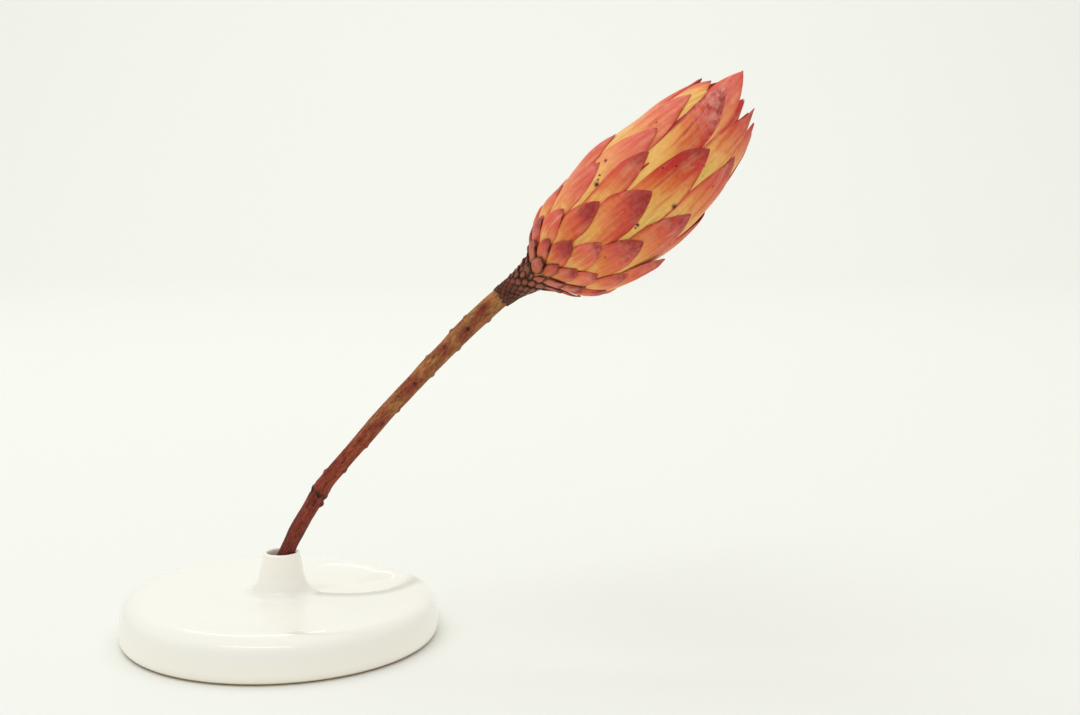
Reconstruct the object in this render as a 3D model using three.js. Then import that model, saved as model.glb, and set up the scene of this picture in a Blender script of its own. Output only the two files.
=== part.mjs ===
// A protea flower standing in a low, round, glazed bud vase.
//
// Frame: millimetres, +Z up. The origin is the centre of the vase's flat base, which rests on
// the table. The stem lies in the XZ plane and leans towards +X, and the hollow behind the
// crest of the vase is at +Y.
import * as THREE from "three";

const { degToRad, lerp, smoothstep } = THREE.MathUtils;
const { Vector2, Vector3 } = THREE;

// ---- Driving dimensions -------------------------------------------------------------------

// Vase: a flat round body with one conical neck, hollow inside.
const FOOT_RADIUS = 55.6; // flat face that rests on the table
const BODY_RADIUS = 57; // widest, low on the side
const WIDEST_HEIGHT = 4.1;
const TOP_RADIUS = 52.4; // where the rounded side meets the top
const TOP_HEIGHT = 15.2;
const NECK_OFFSET = 1.5; // the neck stands this far towards +X of the body's centre
const NECK_OFFSET_RADIUS = 44; // the offset fades out from the neck to here
const NECK_FOOT_RADIUS = 16; // where the fillet under the neck begins
const NECK_FOOT_HEIGHT = 15.8;
const NECK_RADIUS = 8.1; // above the fillet
const NECK_BOTTOM = 22;
const LIP_RADIUS = 6.75;
const LIP_ROUNDING = 1.1;
const MOUTH_RADIUS = 5.13;
const MOUTH_HEIGHT = 30.6;
const BORE_BOTTOM = 27; // below it the bore flares into the reservoir
const THROAT_RADIUS = 13; // where the flare meets the reservoir's ceiling
const FLOOR_THICKNESS = 4;
const WALL = 3.6;
const INNER_ROUNDING = 4; // of the reservoir's outer corners
const VASE_SEGMENTS = 40;

// Scoop: a shallow hollow in the vase's top behind a crest that runs from neck to rim.
const SCOOP_CENTRE = new Vector2(21.5, 22.5);
const SCOOP_RADIUS = 25;
const SCOOP_DEPTH = 5.5;
const SCOOP_CREST_DIRECTION = degToRad(-66.5);
const SCOOP_STEEP_WIDTH = 7; // behind the crest
const SCOOP_GENTLE_WIDTH = 26; // on the side away from the crest
const SCOOP_NECK_FADE = { from: 9, to: 17 }; // distance from the neck's axis
const SCOOP_RIM_FADE = { from: 1.5, to: 13 }; // distance in from the top's edge

// Stem: stations of its centre line in the XZ plane, from the cut end in the vase to the head.
const STEM_STATIONS = [
  { x: -4.7, z: 4.8, radius: 2.8 },
  { x: -3.9, z: 10, radius: 2.8 },
  { x: -1.9, z: 18, radius: 2.8 },
  { x: 0.3, z: 24.5, radius: 2.8 },
  { x: 3.35, z: 30.6, radius: 2.75 },
  { x: 7.1, z: 38.9, radius: 2.85 },
  { x: 11.4, z: 46.6, radius: 2.8 },
  { x: 15.1, z: 52.6, radius: 3.1 }, // the joint ring
  { x: 18.6, z: 57.6, radius: 2.85 },
  { x: 25.2, z: 65.3, radius: 2.85 },
  { x: 36.6, z: 78.4, radius: 2.95 },
  { x: 48.6, z: 91.4, radius: 3.0 },
  { x: 61.2, z: 104.4, radius: 3.25 },
  { x: 71.6, z: 114.9, radius: 3.5 },
];
const STEM_SIDES = 12;
const STEM_STEPS_PER_STATION = 2;

// Head: its own frame has +Z along the head, +X to the side that faces down, origin in the neck.
const HEAD_ORIGIN = new Vector3(87.3, 0, 130);
const HEAD_RISE = degToRad(39.3); // the head's axis above the horizontal

// Outline of the head: height along the axis, sideways shift of the centre line, and radius.
const HEAD_OUTLINE = [
  { height: -10, shift: 1.3, radius: 3.6 },
  { height: -5, shift: 1.6, radius: 3.8 },
  { height: 0, shift: 2.1, radius: 4.9 },
  { height: 3, shift: 2.7, radius: 5.9 },
  { height: 5.5, shift: 3.5, radius: 8 },
  { height: 8.5, shift: 4.3, radius: 11.9 },
  { height: 12, shift: 4.6, radius: 15.3 },
  { height: 16, shift: 4.8, radius: 18 },
  { height: 21, shift: 5.0, radius: 20.1 },
  { height: 28, shift: 4.9, radius: 21.2 },
  { height: 38, shift: 4.4, radius: 22.2 },
  { height: 50, shift: 3.7, radius: 22.9 },
  { height: 58, shift: 3.6, radius: 22.2 },
  { height: 66, shift: 3.3, radius: 20.8 },
  { height: 76, shift: 2.6, radius: 19.5 },
  { height: 84, shift: 1.8, radius: 17.5 },
  { height: 90, shift: 1.2, radius: 15.6 },
  { height: 96, shift: 0.6, radius: 12 },
  { height: 101, shift: -0.2, radius: 8.4 },
  { height: 106, shift: -1.2, radius: 5.6 },
];

// Neck: small scales grown together with the stem, flaring into a collar under the bracts.
const NECK_STATIONS = [
  { height: -10.5, radius: 3.75 },
  { height: -8, radius: 3.55 },
  { height: -4, radius: 3.9 },
  { height: 0, radius: 4.9 },
  { height: 3, radius: 5.9 },
  { height: 5.5, radius: 7.8 },
  { height: 7.9, radius: 10.6 },
  { height: 8.5, radius: 10.3 },
  { height: 7.5, radius: 8 },
  { height: 6.5, radius: 6.1 },
];

// Receptacle: the end of the stem inside the head, which carries the bracts and the florets.
const RECEPTACLE = [
  { height: 7.6, radius: 5.4 },
  { height: 12, radius: 5.6 },
  { height: 16, radius: 5.3 },
  { height: 19, radius: 3.4 },
  { height: 20.2, radius: 0.8 },
];

// Bracts: overlapping scales set round the axis by the golden angle, the lowest first.
const BRACT_COUNT = 56;
const GOLDEN_ANGLE = degToRad(137.508);
const FIRST_BRACT_ANGLE = degToRad(3);
const BRACT_THICKNESS = 0.55;
const BRACT_GAP = 0.35; // from the receptacle
const LAYER_STEP = 0.2; // each bract lies this much deeper than the one before it
const BRACT_COLUMNS = 4;
const BRACT_ROW_LENGTH = 15; // the blades are divided about this finely along their length
const FEWEST_BRACT_ROWS = 3;

// Height of a bract's tip by its number. Numbers below zero are the neck's own scales.
const TIP_HEIGHTS = [
  { number: -34, height: -4 },
  { number: -13, height: 6 },
  { number: -5, height: 9.7 },
  { number: 0, height: 13 },
  { number: 5, height: 16.3 },
  { number: 13, height: 21.9 },
  { number: 18, height: 26.4 },
  { number: 24, height: 33.5 },
  { number: 29, height: 42.6 },
  { number: 34, height: 53.5 },
  { number: 39, height: 66.5 },
  { number: 42, height: 77.5 },
  { number: 45, height: 86.5 },
  { number: 48, height: 95 },
  { number: 51, height: 99.5 },
  { number: 55, height: 104 },
];

// Half width of a bract, as an angle round the head's axis, by its number.
const HALF_ANGLES = [
  { number: 0, degrees: 13 },
  { number: 20, degrees: 14 },
  { number: 30, degrees: 15 },
  { number: 36, degrees: 19 },
  { number: 42, degrees: 23.5 },
  { number: 50, degrees: 25 },
  { number: 55, degrees: 25 },
];

// Length over which a bract narrows to its tip, by its number.
const TAPER_LENGTHS = [
  { number: 0, length: 8 },
  { number: 20, length: 11 },
  { number: 34, length: 16 },
  { number: 42, length: 22 },
  { number: 50, length: 20 },
  { number: 55, length: 16 },
];

// How single bracts depart from the even spiral: their tip is lifted along the head, their
// whole blade is turned round it, and their tip sweeps sideways or flares away from it.
const BRACT_HABITS = {
  24: { lift: -1.9 },
  26: { lift: 1.3, sweep: 4 },
  29: { sweep: 8 },
  31: { sweep: 4 },
  32: { lift: -5.4, flare: 3 },
  34: { lift: 1.6, sweep: 9 },
  37: { sweep: 5 },
  39: { lift: 2.5 },
  40: { lift: -4.6, turn: 2 },
  42: { lift: 2, sweep: 3 },
  44: { lift: 2.3, turn: 3, sweep: 3 },
  45: { lift: -1.5, turn: -2, sweep: -10 },
  47: { lift: 5, turn: 2, sweep: -17 },
  50: { lift: 2.2 },
  52: { lift: 4.6, turn: 14, sweep: -20 },
  53: { lift: -4, sweep: -16 },
  55: { lift: -5, turn: 12 },
};
const SWEEP_LENGTH = 22; // the stretch below the tip that sweeps or flares

// Florets: the closed bundle that the bracts wrap.
const FLORET_STATIONS = [
  { height: 20.6, radius: 0.8 },
  { height: 22, radius: 4.5 },
  { height: 27, radius: 8.5 },
  { height: 36, radius: 12.6 },
  { height: 50, radius: 15.6 },
  { height: 62, radius: 15.2 },
  { height: 74, radius: 13.6 },
  { height: 84, radius: 11.2 },
  { height: 91, radius: 7.5 },
  { height: 96, radius: 2.5 },
];
const FLORET_SIDES = 20;
const FLORET_STEPS = 18;

// ---- Materials ----------------------------------------------------------------------------

const GLAZE = { color: 0xf3f1e8, roughness: 0.12, metalness: 0 };
const BARK = { color: 0x7a4a36, roughness: 0.7, metalness: 0 };
const FLORET_DOWN = { color: 0xe8cf8a, roughness: 0.9, metalness: 0 };
const LOW_BRACT_COLOUR = new THREE.Color(0x9c3f3a);
const HIGH_BRACT_COLOUR = new THREE.Color(0xd97560);

// ---- Helpers ------------------------------------------------------------------------------

// Smooth value between the rows of a table of named values, kept monotone between its rows.
function fromTable(table, keyName, valueName, key) {
  const last = table.length - 1;
  let row = 0;
  while (row < last - 1 && key > table[row + 1][keyName]) row += 1;
  const slopeOf = (i) => {
    if (i < 0 || i >= last) return undefined;
    const rise = table[i + 1][valueName] - table[i][valueName];
    return rise / (table[i + 1][keyName] - table[i][keyName]);
  };
  const tangentAt = (i) => {
    const before = slopeOf(i - 1);
    const after = slopeOf(i);
    if (before === undefined) return after;
    if (after === undefined) return before;
    return before * after <= 0 ? 0 : (2 * before * after) / (before + after);
  };
  const width = table[row + 1][keyName] - table[row][keyName];
  const t = (key - table[row][keyName]) / width;
  const from = table[row][valueName];
  const to = table[row + 1][valueName];
  if (t < 0) return from + tangentAt(row) * t * width;
  if (t > 1) return to + tangentAt(row + 1) * (t - 1) * width;
  const startPull = tangentAt(row) * width * t * (1 - t) ** 2;
  const endPull = tangentAt(row + 1) * width * t ** 2 * (1 - t);
  return lerp(from, to, t * t * (3 - 2 * t)) + startPull - endPull;
}

// Moves every corner of a geometry to where place(corner) says.
function bend(geometry, place) {
  const position = geometry.getAttribute("position");
  const corner = new Vector3();
  for (let i = 0; i < position.count; i += 1) {
    corner.fromBufferAttribute(position, i);
    const placed = place(corner);
    position.setXYZ(i, placed.x, placed.y, placed.z);
  }
  position.needsUpdate = true;
  geometry.computeVertexNormals();
  return geometry;
}

function namedMesh(name, geometry, finish) {
  const mesh = new THREE.Mesh(geometry, new THREE.MeshStandardMaterial(finish));
  mesh.name = name;
  return mesh;
}

// ---- Vase ---------------------------------------------------------------------------------

// Depth of the scoop below the plain top at a point of the plan.
function scoopDepth(x, y) {
  const fromCentre = new Vector2(x, y).sub(SCOOP_CENTRE);
  const turn = Math.atan2(fromCentre.y, fromCentre.x) - SCOOP_CREST_DIRECTION;
  const facing = smoothstep((1 + Math.cos(turn)) / 2, 0.35, 0.8);
  const width = lerp(SCOOP_GENTLE_WIDTH, SCOOP_STEEP_WIDTH, facing);
  const inward = smoothstep(SCOOP_RADIUS - fromCentre.length(), 0, width);
  const fromNeck = Math.hypot(x - NECK_OFFSET, y);
  const fromRim = TOP_RADIUS - Math.hypot(x, y);
  const offNeck = smoothstep(fromNeck, SCOOP_NECK_FADE.from, SCOOP_NECK_FADE.to);
  const offRim = smoothstep(fromRim, SCOOP_RIM_FADE.from, SCOOP_RIM_FADE.to);
  return SCOOP_DEPTH * inward * offNeck * offRim;
}

// Half section of the vase: out along the foot, up the side, over the top, up the neck, then
// down through the bore and round the inside of the body.
function vaseSection() {
  const at = (radius, height) => new Vector2(radius, height);
  const line = (from, to) => new THREE.LineCurve(from, to);
  const round = (from, corner, to) => new THREE.QuadraticBezierCurve(from, corner, to);
  const flare = (from, pullFrom, pullTo, to) =>
    new THREE.CubicBezierCurve(from, pullFrom, pullTo, to);

  const side = BODY_RADIUS - TOP_RADIUS;
  const rise = TOP_HEIGHT - WIDEST_HEIGHT;
  const shoulder = new THREE.EllipseCurve(
    TOP_RADIUS, WIDEST_HEIGHT, side, rise, 0, Math.PI / 2,
  );
  const neckFoot = at(NECK_FOOT_RADIUS, NECK_FOOT_HEIGHT);
  const neckBottom = at(NECK_RADIUS, NECK_BOTTOM);
  const lipOutside = at(LIP_RADIUS, MOUTH_HEIGHT - LIP_ROUNDING);
  const lipTop = at((LIP_RADIUS + MOUTH_RADIUS) / 2, MOUTH_HEIGHT);
  const lipInside = at(MOUTH_RADIUS, MOUTH_HEIGHT - LIP_ROUNDING);
  const boreBottom = at(MOUTH_RADIUS, BORE_BOTTOM);

  const innerRadius = BODY_RADIUS - WALL;
  const ceiling = TOP_HEIGHT - WALL;
  const middle = (ceiling + FLOOR_THICKNESS) / 2;
  const throat = at(THROAT_RADIUS, ceiling + 0.6);
  const ceilingEdge = at(innerRadius - INNER_ROUNDING, ceiling);
  const innerSide = at(innerRadius, middle);
  const floorEdge = at(innerRadius - INNER_ROUNDING, FLOOR_THICKNESS);

  const stretches = [
    [line(at(0, 0), at(FOOT_RADIUS, 0)), 1],
    [round(at(FOOT_RADIUS, 0), at(BODY_RADIUS, 0.6), at(BODY_RADIUS, WIDEST_HEIGHT)), 3],
    [shoulder, 6],
    [line(at(TOP_RADIUS, TOP_HEIGHT), neckFoot), 11],
    [flare(neckFoot, at(10, NECK_FOOT_HEIGHT), at(9.2, 18.2), neckBottom), 5],
    [round(lipOutside, at(LIP_RADIUS, MOUTH_HEIGHT), lipTop), 2],
    [round(lipTop, at(MOUTH_RADIUS, MOUTH_HEIGHT), lipInside), 2],
    [flare(boreBottom, at(5.6, 21), at(7.2, 14), throat), 6],
    [line(throat, ceilingEdge), 7],
    [round(ceilingEdge, at(innerRadius, ceiling), innerSide), 3],
    [round(innerSide, at(innerRadius, FLOOR_THICKNESS), floorEdge), 3],
    [line(floorEdge, at(0, FLOOR_THICKNESS)), 1],
  ];
  const points = stretches.flatMap(([curve, steps]) => curve.getPoints(steps));
  return points.filter((point, i) => i === 0 || point.distanceTo(points[i - 1]) > 1e-6);
}

function vase() {
  const turned = new THREE.LatheGeometry(vaseSection(), VASE_SEGMENTS);
  turned.rotateX(Math.PI / 2);
  const ceiling = TOP_HEIGHT - WALL;
  const shaped = bend(turned, ({ x, y, z }) => {
    const outward = smoothstep(Math.hypot(x, y), NECK_FOOT_RADIUS, NECK_OFFSET_RADIUS);
    const shifted = x + NECK_OFFSET * (1 - outward);
    const onTop = smoothstep(z, ceiling - 2, ceiling - 0.5);
    return new Vector3(shifted, y, z - onTop * scoopDepth(shifted, y));
  });
  return namedMesh("vase", shaped, GLAZE);
}

// ---- Head frame ---------------------------------------------------------------------------

// A point beside the head's centre line: angle 0 faces -Y, and positive turns towards +X.
function besideAxis(height, shift, radius, angle) {
  const x = shift + radius * Math.sin(angle);
  return new Vector3(x, -radius * Math.cos(angle), height);
}

function headShift(height) {
  return fromTable(HEAD_OUTLINE, "height", "shift", height);
}

// A point `depth` below the head's outline, measured square to it.
function underOutline(height, depth, angle) {
  const radiusAt = (h) => fromTable(HEAD_OUTLINE, "height", "radius", h);
  const slope = radiusAt(height + 0.5) - radiusAt(height - 0.5);
  const square = Math.hypot(1, slope);
  const lifted = height + (depth * slope) / square;
  const radius = Math.max(0.4, radiusAt(height) - depth / square);
  return besideAxis(lifted, headShift(lifted), radius, angle);
}

// ---- Stem ---------------------------------------------------------------------------------

// Stations of the stem in the XZ plane: the place, the lean from the vertical and the radius.
function stemStations() {
  const last = STEM_STATIONS.length - 1;
  const rod = STEM_STATIONS.map((station, i) => {
    const before = STEM_STATIONS[Math.max(0, i - 1)];
    const after = STEM_STATIONS[Math.min(last, i + 1)];
    return { ...station, lean: Math.atan2(after.x - before.x, after.z - before.z) };
  });
  const along = new Vector2(Math.cos(HEAD_RISE), Math.sin(HEAD_RISE));
  const inHead = [...NECK_STATIONS, ...RECEPTACLE].map(({ height, radius }) => {
    const shift = headShift(height);
    const x = HEAD_ORIGIN.x + height * along.x + shift * along.y;
    const z = HEAD_ORIGIN.z + height * along.y - shift * along.x;
    return { x, z, lean: Math.PI / 2 - HEAD_RISE, radius };
  });
  return [...rod, ...inHead];
}

function stem() {
  const stations = stemStations();
  const curveOf = (toVector, tension) =>
    new THREE.CatmullRomCurve3(stations.map(toVector), false, "catmullrom", tension);
  const centre = curveOf(({ x, z }) => new Vector3(x, 0, z), 0.5);
  const section = curveOf(({ radius, lean }) => new Vector3(radius, lean, 0), 0.3);
  const steps = STEM_STEPS_PER_STATION * (stations.length - 1);
  const rod = new THREE.CylinderGeometry(1, 1, 1, STEM_SIDES, steps);
  const shaped = bend(rod, ({ x, y, z }) => {
    const along = THREE.MathUtils.clamp(y + 0.5, 0, 1);
    const { x: radius, y: lean } = section.getPoint(along);
    const side = new Vector3(Math.cos(lean), 0, -Math.sin(lean));
    const offset = side.multiplyScalar(x * radius).setY(-z * radius);
    return centre.getPoint(along).add(offset);
  });
  return namedMesh("stem", shaped, BARK);
}

// ---- Bracts -------------------------------------------------------------------------------

// The number of the bract whose tip lies at a height.
function numberWithTipAt(height) {
  return fromTable(TIP_HEIGHTS, "height", "number", height);
}

function bract(number) {
  const habit = { lift: 0, turn: 0, sweep: 0, flare: 0, ...BRACT_HABITS[number] };
  const angle = FIRST_BRACT_ANGLE + number * GOLDEN_ANGLE + degToRad(habit.turn);
  const tip = fromTable(TIP_HEIGHTS, "number", "height", number) + habit.lift;
  const halfAngle = degToRad(fromTable(HALF_ANGLES, "number", "degrees", number));
  const taper = fromTable(TAPER_LENGTHS, "number", "length", number);
  const depthAt = (height) => LAYER_STEP * (number - numberWithTipAt(height));

  // The lower end: down from the tip until the inner face would touch the receptacle.
  const clearance = (height) => {
    const point = underOutline(height, depthAt(height) + BRACT_THICKNESS, angle);
    const radius = Math.hypot(point.x - headShift(point.z), point.y);
    return radius - fromTable(RECEPTACLE, "height", "radius", point.z);
  };
  let base = tip - 3;
  while (clearance(base) > BRACT_GAP && base > 0) base -= 0.1;

  const rows = FEWEST_BRACT_ROWS + Math.round((tip - base) / BRACT_ROW_LENGTH);
  const blade = new THREE.BoxGeometry(2, 1, 1, BRACT_COLUMNS, rows, 1);
  const shaped = bend(blade, ({ x, y, z }) => {
    const along = 1 - (0.5 - y) ** 1.2;
    const height = lerp(base, tip, along);
    const narrowing = Math.min(1, (tip - height + 0.4) / taper);
    const waist = lerp(0.75, 1, smoothstep(along, 0, 0.45));
    const reach = Math.sin((narrowing * Math.PI) / 2) ** 0.8 * waist;
    const bending = Math.max(0, 1 - (tip - height) / SWEEP_LENGTH) ** 2;
    const turned = angle + degToRad(habit.sweep) * bending + x * halfAngle * reach;
    const sunk = z > 0 ? 0 : BRACT_THICKNESS;
    return underOutline(height, depthAt(height) + sunk - habit.flare * bending, turned);
  });
  const colour = LOW_BRACT_COLOUR.clone().lerp(HIGH_BRACT_COLOUR, number / BRACT_COUNT);
  const name = `bract_${String(number).padStart(2, "0")}`;
  return namedMesh(name, shaped, { color: colour, roughness: 0.6, metalness: 0 });
}

// ---- Florets ------------------------------------------------------------------------------

function florets() {
  const first = FLORET_STATIONS[0].height;
  const last = FLORET_STATIONS[FLORET_STATIONS.length - 1].height;
  const bundle = new THREE.CylinderGeometry(1, 1, 1, FLORET_SIDES, FLORET_STEPS);
  const shaped = bend(bundle, ({ x, y, z }) => {
    const height = lerp(first, last, y + 0.5);
    const radius = fromTable(FLORET_STATIONS, "height", "radius", height);
    return new Vector3(headShift(height) + x * radius, -z * radius, height);
  });
  return namedMesh("florets", shaped, FLORET_DOWN);
}

// ---- The object ---------------------------------------------------------------------------

const head = new THREE.Group();
head.position.copy(HEAD_ORIGIN);
head.rotation.y = Math.PI / 2 - HEAD_RISE;
head.add(florets());
for (let number = 0; number < BRACT_COUNT; number += 1) head.add(bract(number));

const flower = new THREE.Group();
flower.add(vase(), stem(), head);

export default flower;
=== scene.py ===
"""A protea flower standing in a low, round, glazed bud vase, modelled and dressed over its frame.

Lengths in the classes below are millimetres, as on a maker's drawing, and become metres where a
mesh is placed. The frame is the model's own: +Z up, the origin under the vase, the stem in the
XZ plane leaning towards +X.
"""

import logging
import math
from collections.abc import Callable, Iterator, Sequence
from contextlib import contextmanager
from dataclasses import dataclass, field
from enum import Enum, IntEnum
from typing import Any

import bmesh
import bpy
from mathutils import Matrix, Vector, noise


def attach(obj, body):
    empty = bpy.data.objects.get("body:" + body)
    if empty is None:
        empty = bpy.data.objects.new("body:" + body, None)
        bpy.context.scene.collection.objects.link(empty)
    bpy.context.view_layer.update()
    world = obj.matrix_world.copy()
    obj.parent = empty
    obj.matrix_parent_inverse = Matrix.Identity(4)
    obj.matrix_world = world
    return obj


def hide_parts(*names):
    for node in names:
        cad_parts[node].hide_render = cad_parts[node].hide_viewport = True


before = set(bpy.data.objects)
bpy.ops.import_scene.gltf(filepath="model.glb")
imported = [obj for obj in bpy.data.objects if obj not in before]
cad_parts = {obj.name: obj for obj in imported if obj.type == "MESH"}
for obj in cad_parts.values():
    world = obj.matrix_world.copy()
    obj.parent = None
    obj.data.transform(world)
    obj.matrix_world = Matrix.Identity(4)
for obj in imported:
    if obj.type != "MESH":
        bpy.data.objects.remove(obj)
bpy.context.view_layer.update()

log = logging.getLogger("protea")

MM = 0.001
Colour = tuple[float, float, float, float]
Pair = tuple[float, float]
Triple = tuple[float, float, float]
Piece = bpy.types.Object
Material = bpy.types.Material
Nodes = bpy.types.NodeTree
Feeds = dict[str | int, Any]


# ---- Measures ----


def lerp(start: float, end: float, share: float) -> float:
    """The value a share of the way from start to end."""
    return start + (end - start) * share


def smoothstep(value: float, low: float, high: float) -> float:
    """0 below low, 1 above high, and an even curve between."""
    t = min(1.0, max(0.0, (value - low) / (high - low)))
    return t * t * (3 - 2 * t)


def bump(value: float, middle: float, half_width: float) -> float:
    """A smooth hill of height 1 at middle that reaches 0 at half_width either side."""
    t = max(0.0, 1 - abs(value - middle) / half_width)
    return t * t * (3 - 2 * t)


def chance(number: float, rate: float = 12.9898, start: float = 0.0, size: float = 43758.5453) -> float:
    """A share from 0 to 1 that looks random but is always the same for a number."""
    return (math.sin(number * rate + start) * size) % 1.0


def turn_between(degrees: float, other: float) -> float:
    """The turn from one angle to another the short way round, in degrees."""
    return (degrees - other + 180) % 360 - 180


def tint(red: int, green: int, blue: int) -> Colour:
    """A display colour of 0 to 255 a channel, as the linear colour that shaders take."""

    def linear(channel: int) -> float:
        """One channel as a share of the light."""
        share = channel / 255
        return share / 12.92 if share <= 0.04045 else ((share + 0.055) / 1.055) ** 2.4

    return (linear(red), linear(green), linear(blue), 1.0)


@dataclass(frozen=True)
class Graduation:
    """Values that run smoothly, and without overshoot, through fixed marks."""

    marks: tuple[Pair, ...]

    def _tangent(self, row: int) -> float:
        """The slope of the run at a mark."""
        near = self.marks[max(0, row - 1) : row + 2]
        slopes = [(there[1] - here[1]) / (there[0] - here[0]) for here, there in zip(near, near[1:])]
        if len(slopes) == 1:
            return slopes[0]
        before, after = slopes
        return 0.0 if before * after <= 0 else 2 * before * after / (before + after)

    def at(self, key: float) -> float:
        """The value at a key, straight on beyond the ends.

        Args:
            key: Where to read the run.

        Returns:
            The value there.
        """
        row = 0
        while row < len(self.marks) - 2 and key > self.marks[row + 1][0]:
            row += 1
        (low, start), (high, end) = self.marks[row], self.marks[row + 1]
        width = high - low
        t = (key - low) / width
        if t < 0:
            return start + self._tangent(row) * t * width
        if t > 1:
            return end + self._tangent(row + 1) * (t - 1) * width
        pull_start = self._tangent(row) * width * t * (1 - t) ** 2
        pull_end = self._tangent(row + 1) * width * t**2 * (1 - t)
        return lerp(start, end, t * t * (3 - 2 * t)) + pull_start - pull_end


# ---- Bench: the modelling operators ----


class Bench:
    """The modelling operators, each used on one piece at a time."""

    @staticmethod
    def clear() -> None:
        """Leaves nothing selected."""
        active = bpy.context.view_layer.objects.active
        if active is not None and active.mode != "OBJECT":
            bpy.ops.object.mode_set(mode="OBJECT")
        bpy.ops.object.select_all(action="DESELECT")

    @staticmethod
    def take(piece: Piece) -> None:
        """Selects one piece alone and makes it the active one."""
        Bench.clear()
        piece.select_set(True)
        bpy.context.view_layer.objects.active = piece

    @staticmethod
    def named(name: str) -> Piece:
        """Names the piece that was just added, and its mesh."""
        piece = bpy.context.view_layer.objects.active
        piece.name = piece.data.name = name
        return piece

    @staticmethod
    @contextmanager
    def editing(piece: Piece) -> Iterator[None]:
        """Keeps a piece in edit mode, with points as the kind that is selected."""
        Bench.take(piece)
        bpy.ops.object.mode_set(mode="EDIT")
        bpy.ops.mesh.select_mode(type="VERT")
        yield
        bpy.ops.object.mode_set(mode="OBJECT")

    @staticmethod
    def select_points(piece: Piece, wanted: Callable[[Vector], bool]) -> None:
        """Selects, in edit mode, just the points whose place passes a test."""
        bpy.ops.mesh.select_all(action="DESELECT")
        shape = bmesh.from_edit_mesh(piece.data)
        for point in shape.verts:
            if wanted(point.co):
                point.select = True
        shape.select_flush_mode()
        bmesh.update_edit_mesh(piece.data)

    @staticmethod
    def lift_points(piece: Piece, height: float, wanted: Callable[[Vector], bool]) -> None:
        """Lifts, in edit mode, the points whose place passes a test."""
        Bench.select_points(piece, wanted)
        bpy.ops.transform.translate(value=(0.0, 0.0, height))

    @staticmethod
    def draw_out(move: Sequence[float]) -> None:
        """Draws the selected edges out, in edit mode."""
        bpy.ops.mesh.extrude_edges_move(TRANSFORM_OT_translate={"value": move})

    @staticmethod
    def close_up(piece: Piece) -> None:
        """Merges a piece's double points, then turns its faces outwards."""
        with Bench.editing(piece):
            bpy.ops.mesh.select_all(action="SELECT")
            bpy.ops.mesh.remove_doubles(threshold=0.002 * MM)
            bpy.ops.mesh.normals_make_consistent(inside=False)

    @staticmethod
    def finish_modifiers(piece: Piece) -> None:
        """Applies every modifier of a piece, in order."""
        Bench.take(piece)
        for modifier in list(piece.modifiers):
            bpy.ops.object.modifier_apply(modifier=modifier.name)

    @staticmethod
    def smooth(piece: Piece, angle: float = 180.0) -> None:
        """Shades a piece smooth, with creases left sharp past an angle in degrees."""
        Bench.take(piece)
        if angle >= 180.0:
            bpy.ops.object.shade_smooth()
        else:
            bpy.ops.object.shade_smooth_by_angle(angle=math.radians(angle))

    @staticmethod
    def copy(piece: Piece, name: str) -> Piece:
        """A copy of a piece with a mesh of its own."""
        twin = piece.copy()
        twin.data = piece.data.copy()
        twin.name = twin.data.name = name
        bpy.context.scene.collection.objects.link(twin)
        return twin

    @staticmethod
    def join(pieces: Sequence[Piece], name: str) -> Piece:
        """Joins pieces into one.

        Args:
            pieces: What is joined; the first one carries the others.
            name: The name of the joined piece.

        Returns:
            The joined piece.
        """
        Bench.take(pieces[0])
        for piece in pieces[1:]:
            piece.select_set(True)
        bpy.ops.object.join()
        return Bench.named(name)

    @staticmethod
    def discard(piece: Piece) -> None:
        """Removes a pattern piece that has served."""
        mesh = piece.data
        bpy.data.objects.remove(piece)
        bpy.data.meshes.remove(mesh)

    @staticmethod
    def shape(piece: Piece, place: Callable[[Vector], Vector]) -> None:
        """Moves each point of a piece to where place says."""
        for point in piece.data.vertices:
            point.co = place(point.co.copy())
        piece.data.update()

    @staticmethod
    def record(piece: Piece, name: str, values: Sequence[float] | Sequence[Triple]) -> None:
        """Writes an attribute on a piece.

        Args:
            piece: The piece.
            name: The attribute's name.
            values: A plain value or a vector for each of its points.
        """
        plain = isinstance(values[0], float)
        attribute = piece.data.attributes.new(name, "FLOAT" if plain else "FLOAT_VECTOR", "POINT")
        flat = values if plain else [part for value in values for part in value]
        attribute.data.foreach_set("value" if plain else "vector", flat)


# ---- Paint table: laying out nodes ----


@dataclass(frozen=True)
class Signal:
    """A value that runs through a paint table, and that sums turn into Math nodes."""

    table: "PaintTable"
    socket: bpy.types.NodeSocket

    def __add__(self, other: Any) -> "Signal":
        """This and another value."""
        return self.table.maths("ADD", self, other)

    def __sub__(self, other: Any) -> "Signal":
        """This less another value."""
        return self.table.maths("SUBTRACT", self, other)

    def __rsub__(self, other: Any) -> "Signal":
        """Another value less this."""
        return self.table.maths("SUBTRACT", other, self)

    def __mul__(self, other: Any) -> "Signal":
        """This times another value."""
        return self.table.maths("MULTIPLY", self, other)

    def __truediv__(self, other: Any) -> "Signal":
        """This divided by another value."""
        return self.table.maths("DIVIDE", self, other)

    def __rtruediv__(self, other: Any) -> "Signal":
        """Another value divided by this."""
        return self.table.maths("DIVIDE", other, self)

    def __abs__(self) -> "Signal":
        """This without its sign."""
        return self.table.maths("ABSOLUTE", self)


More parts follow.
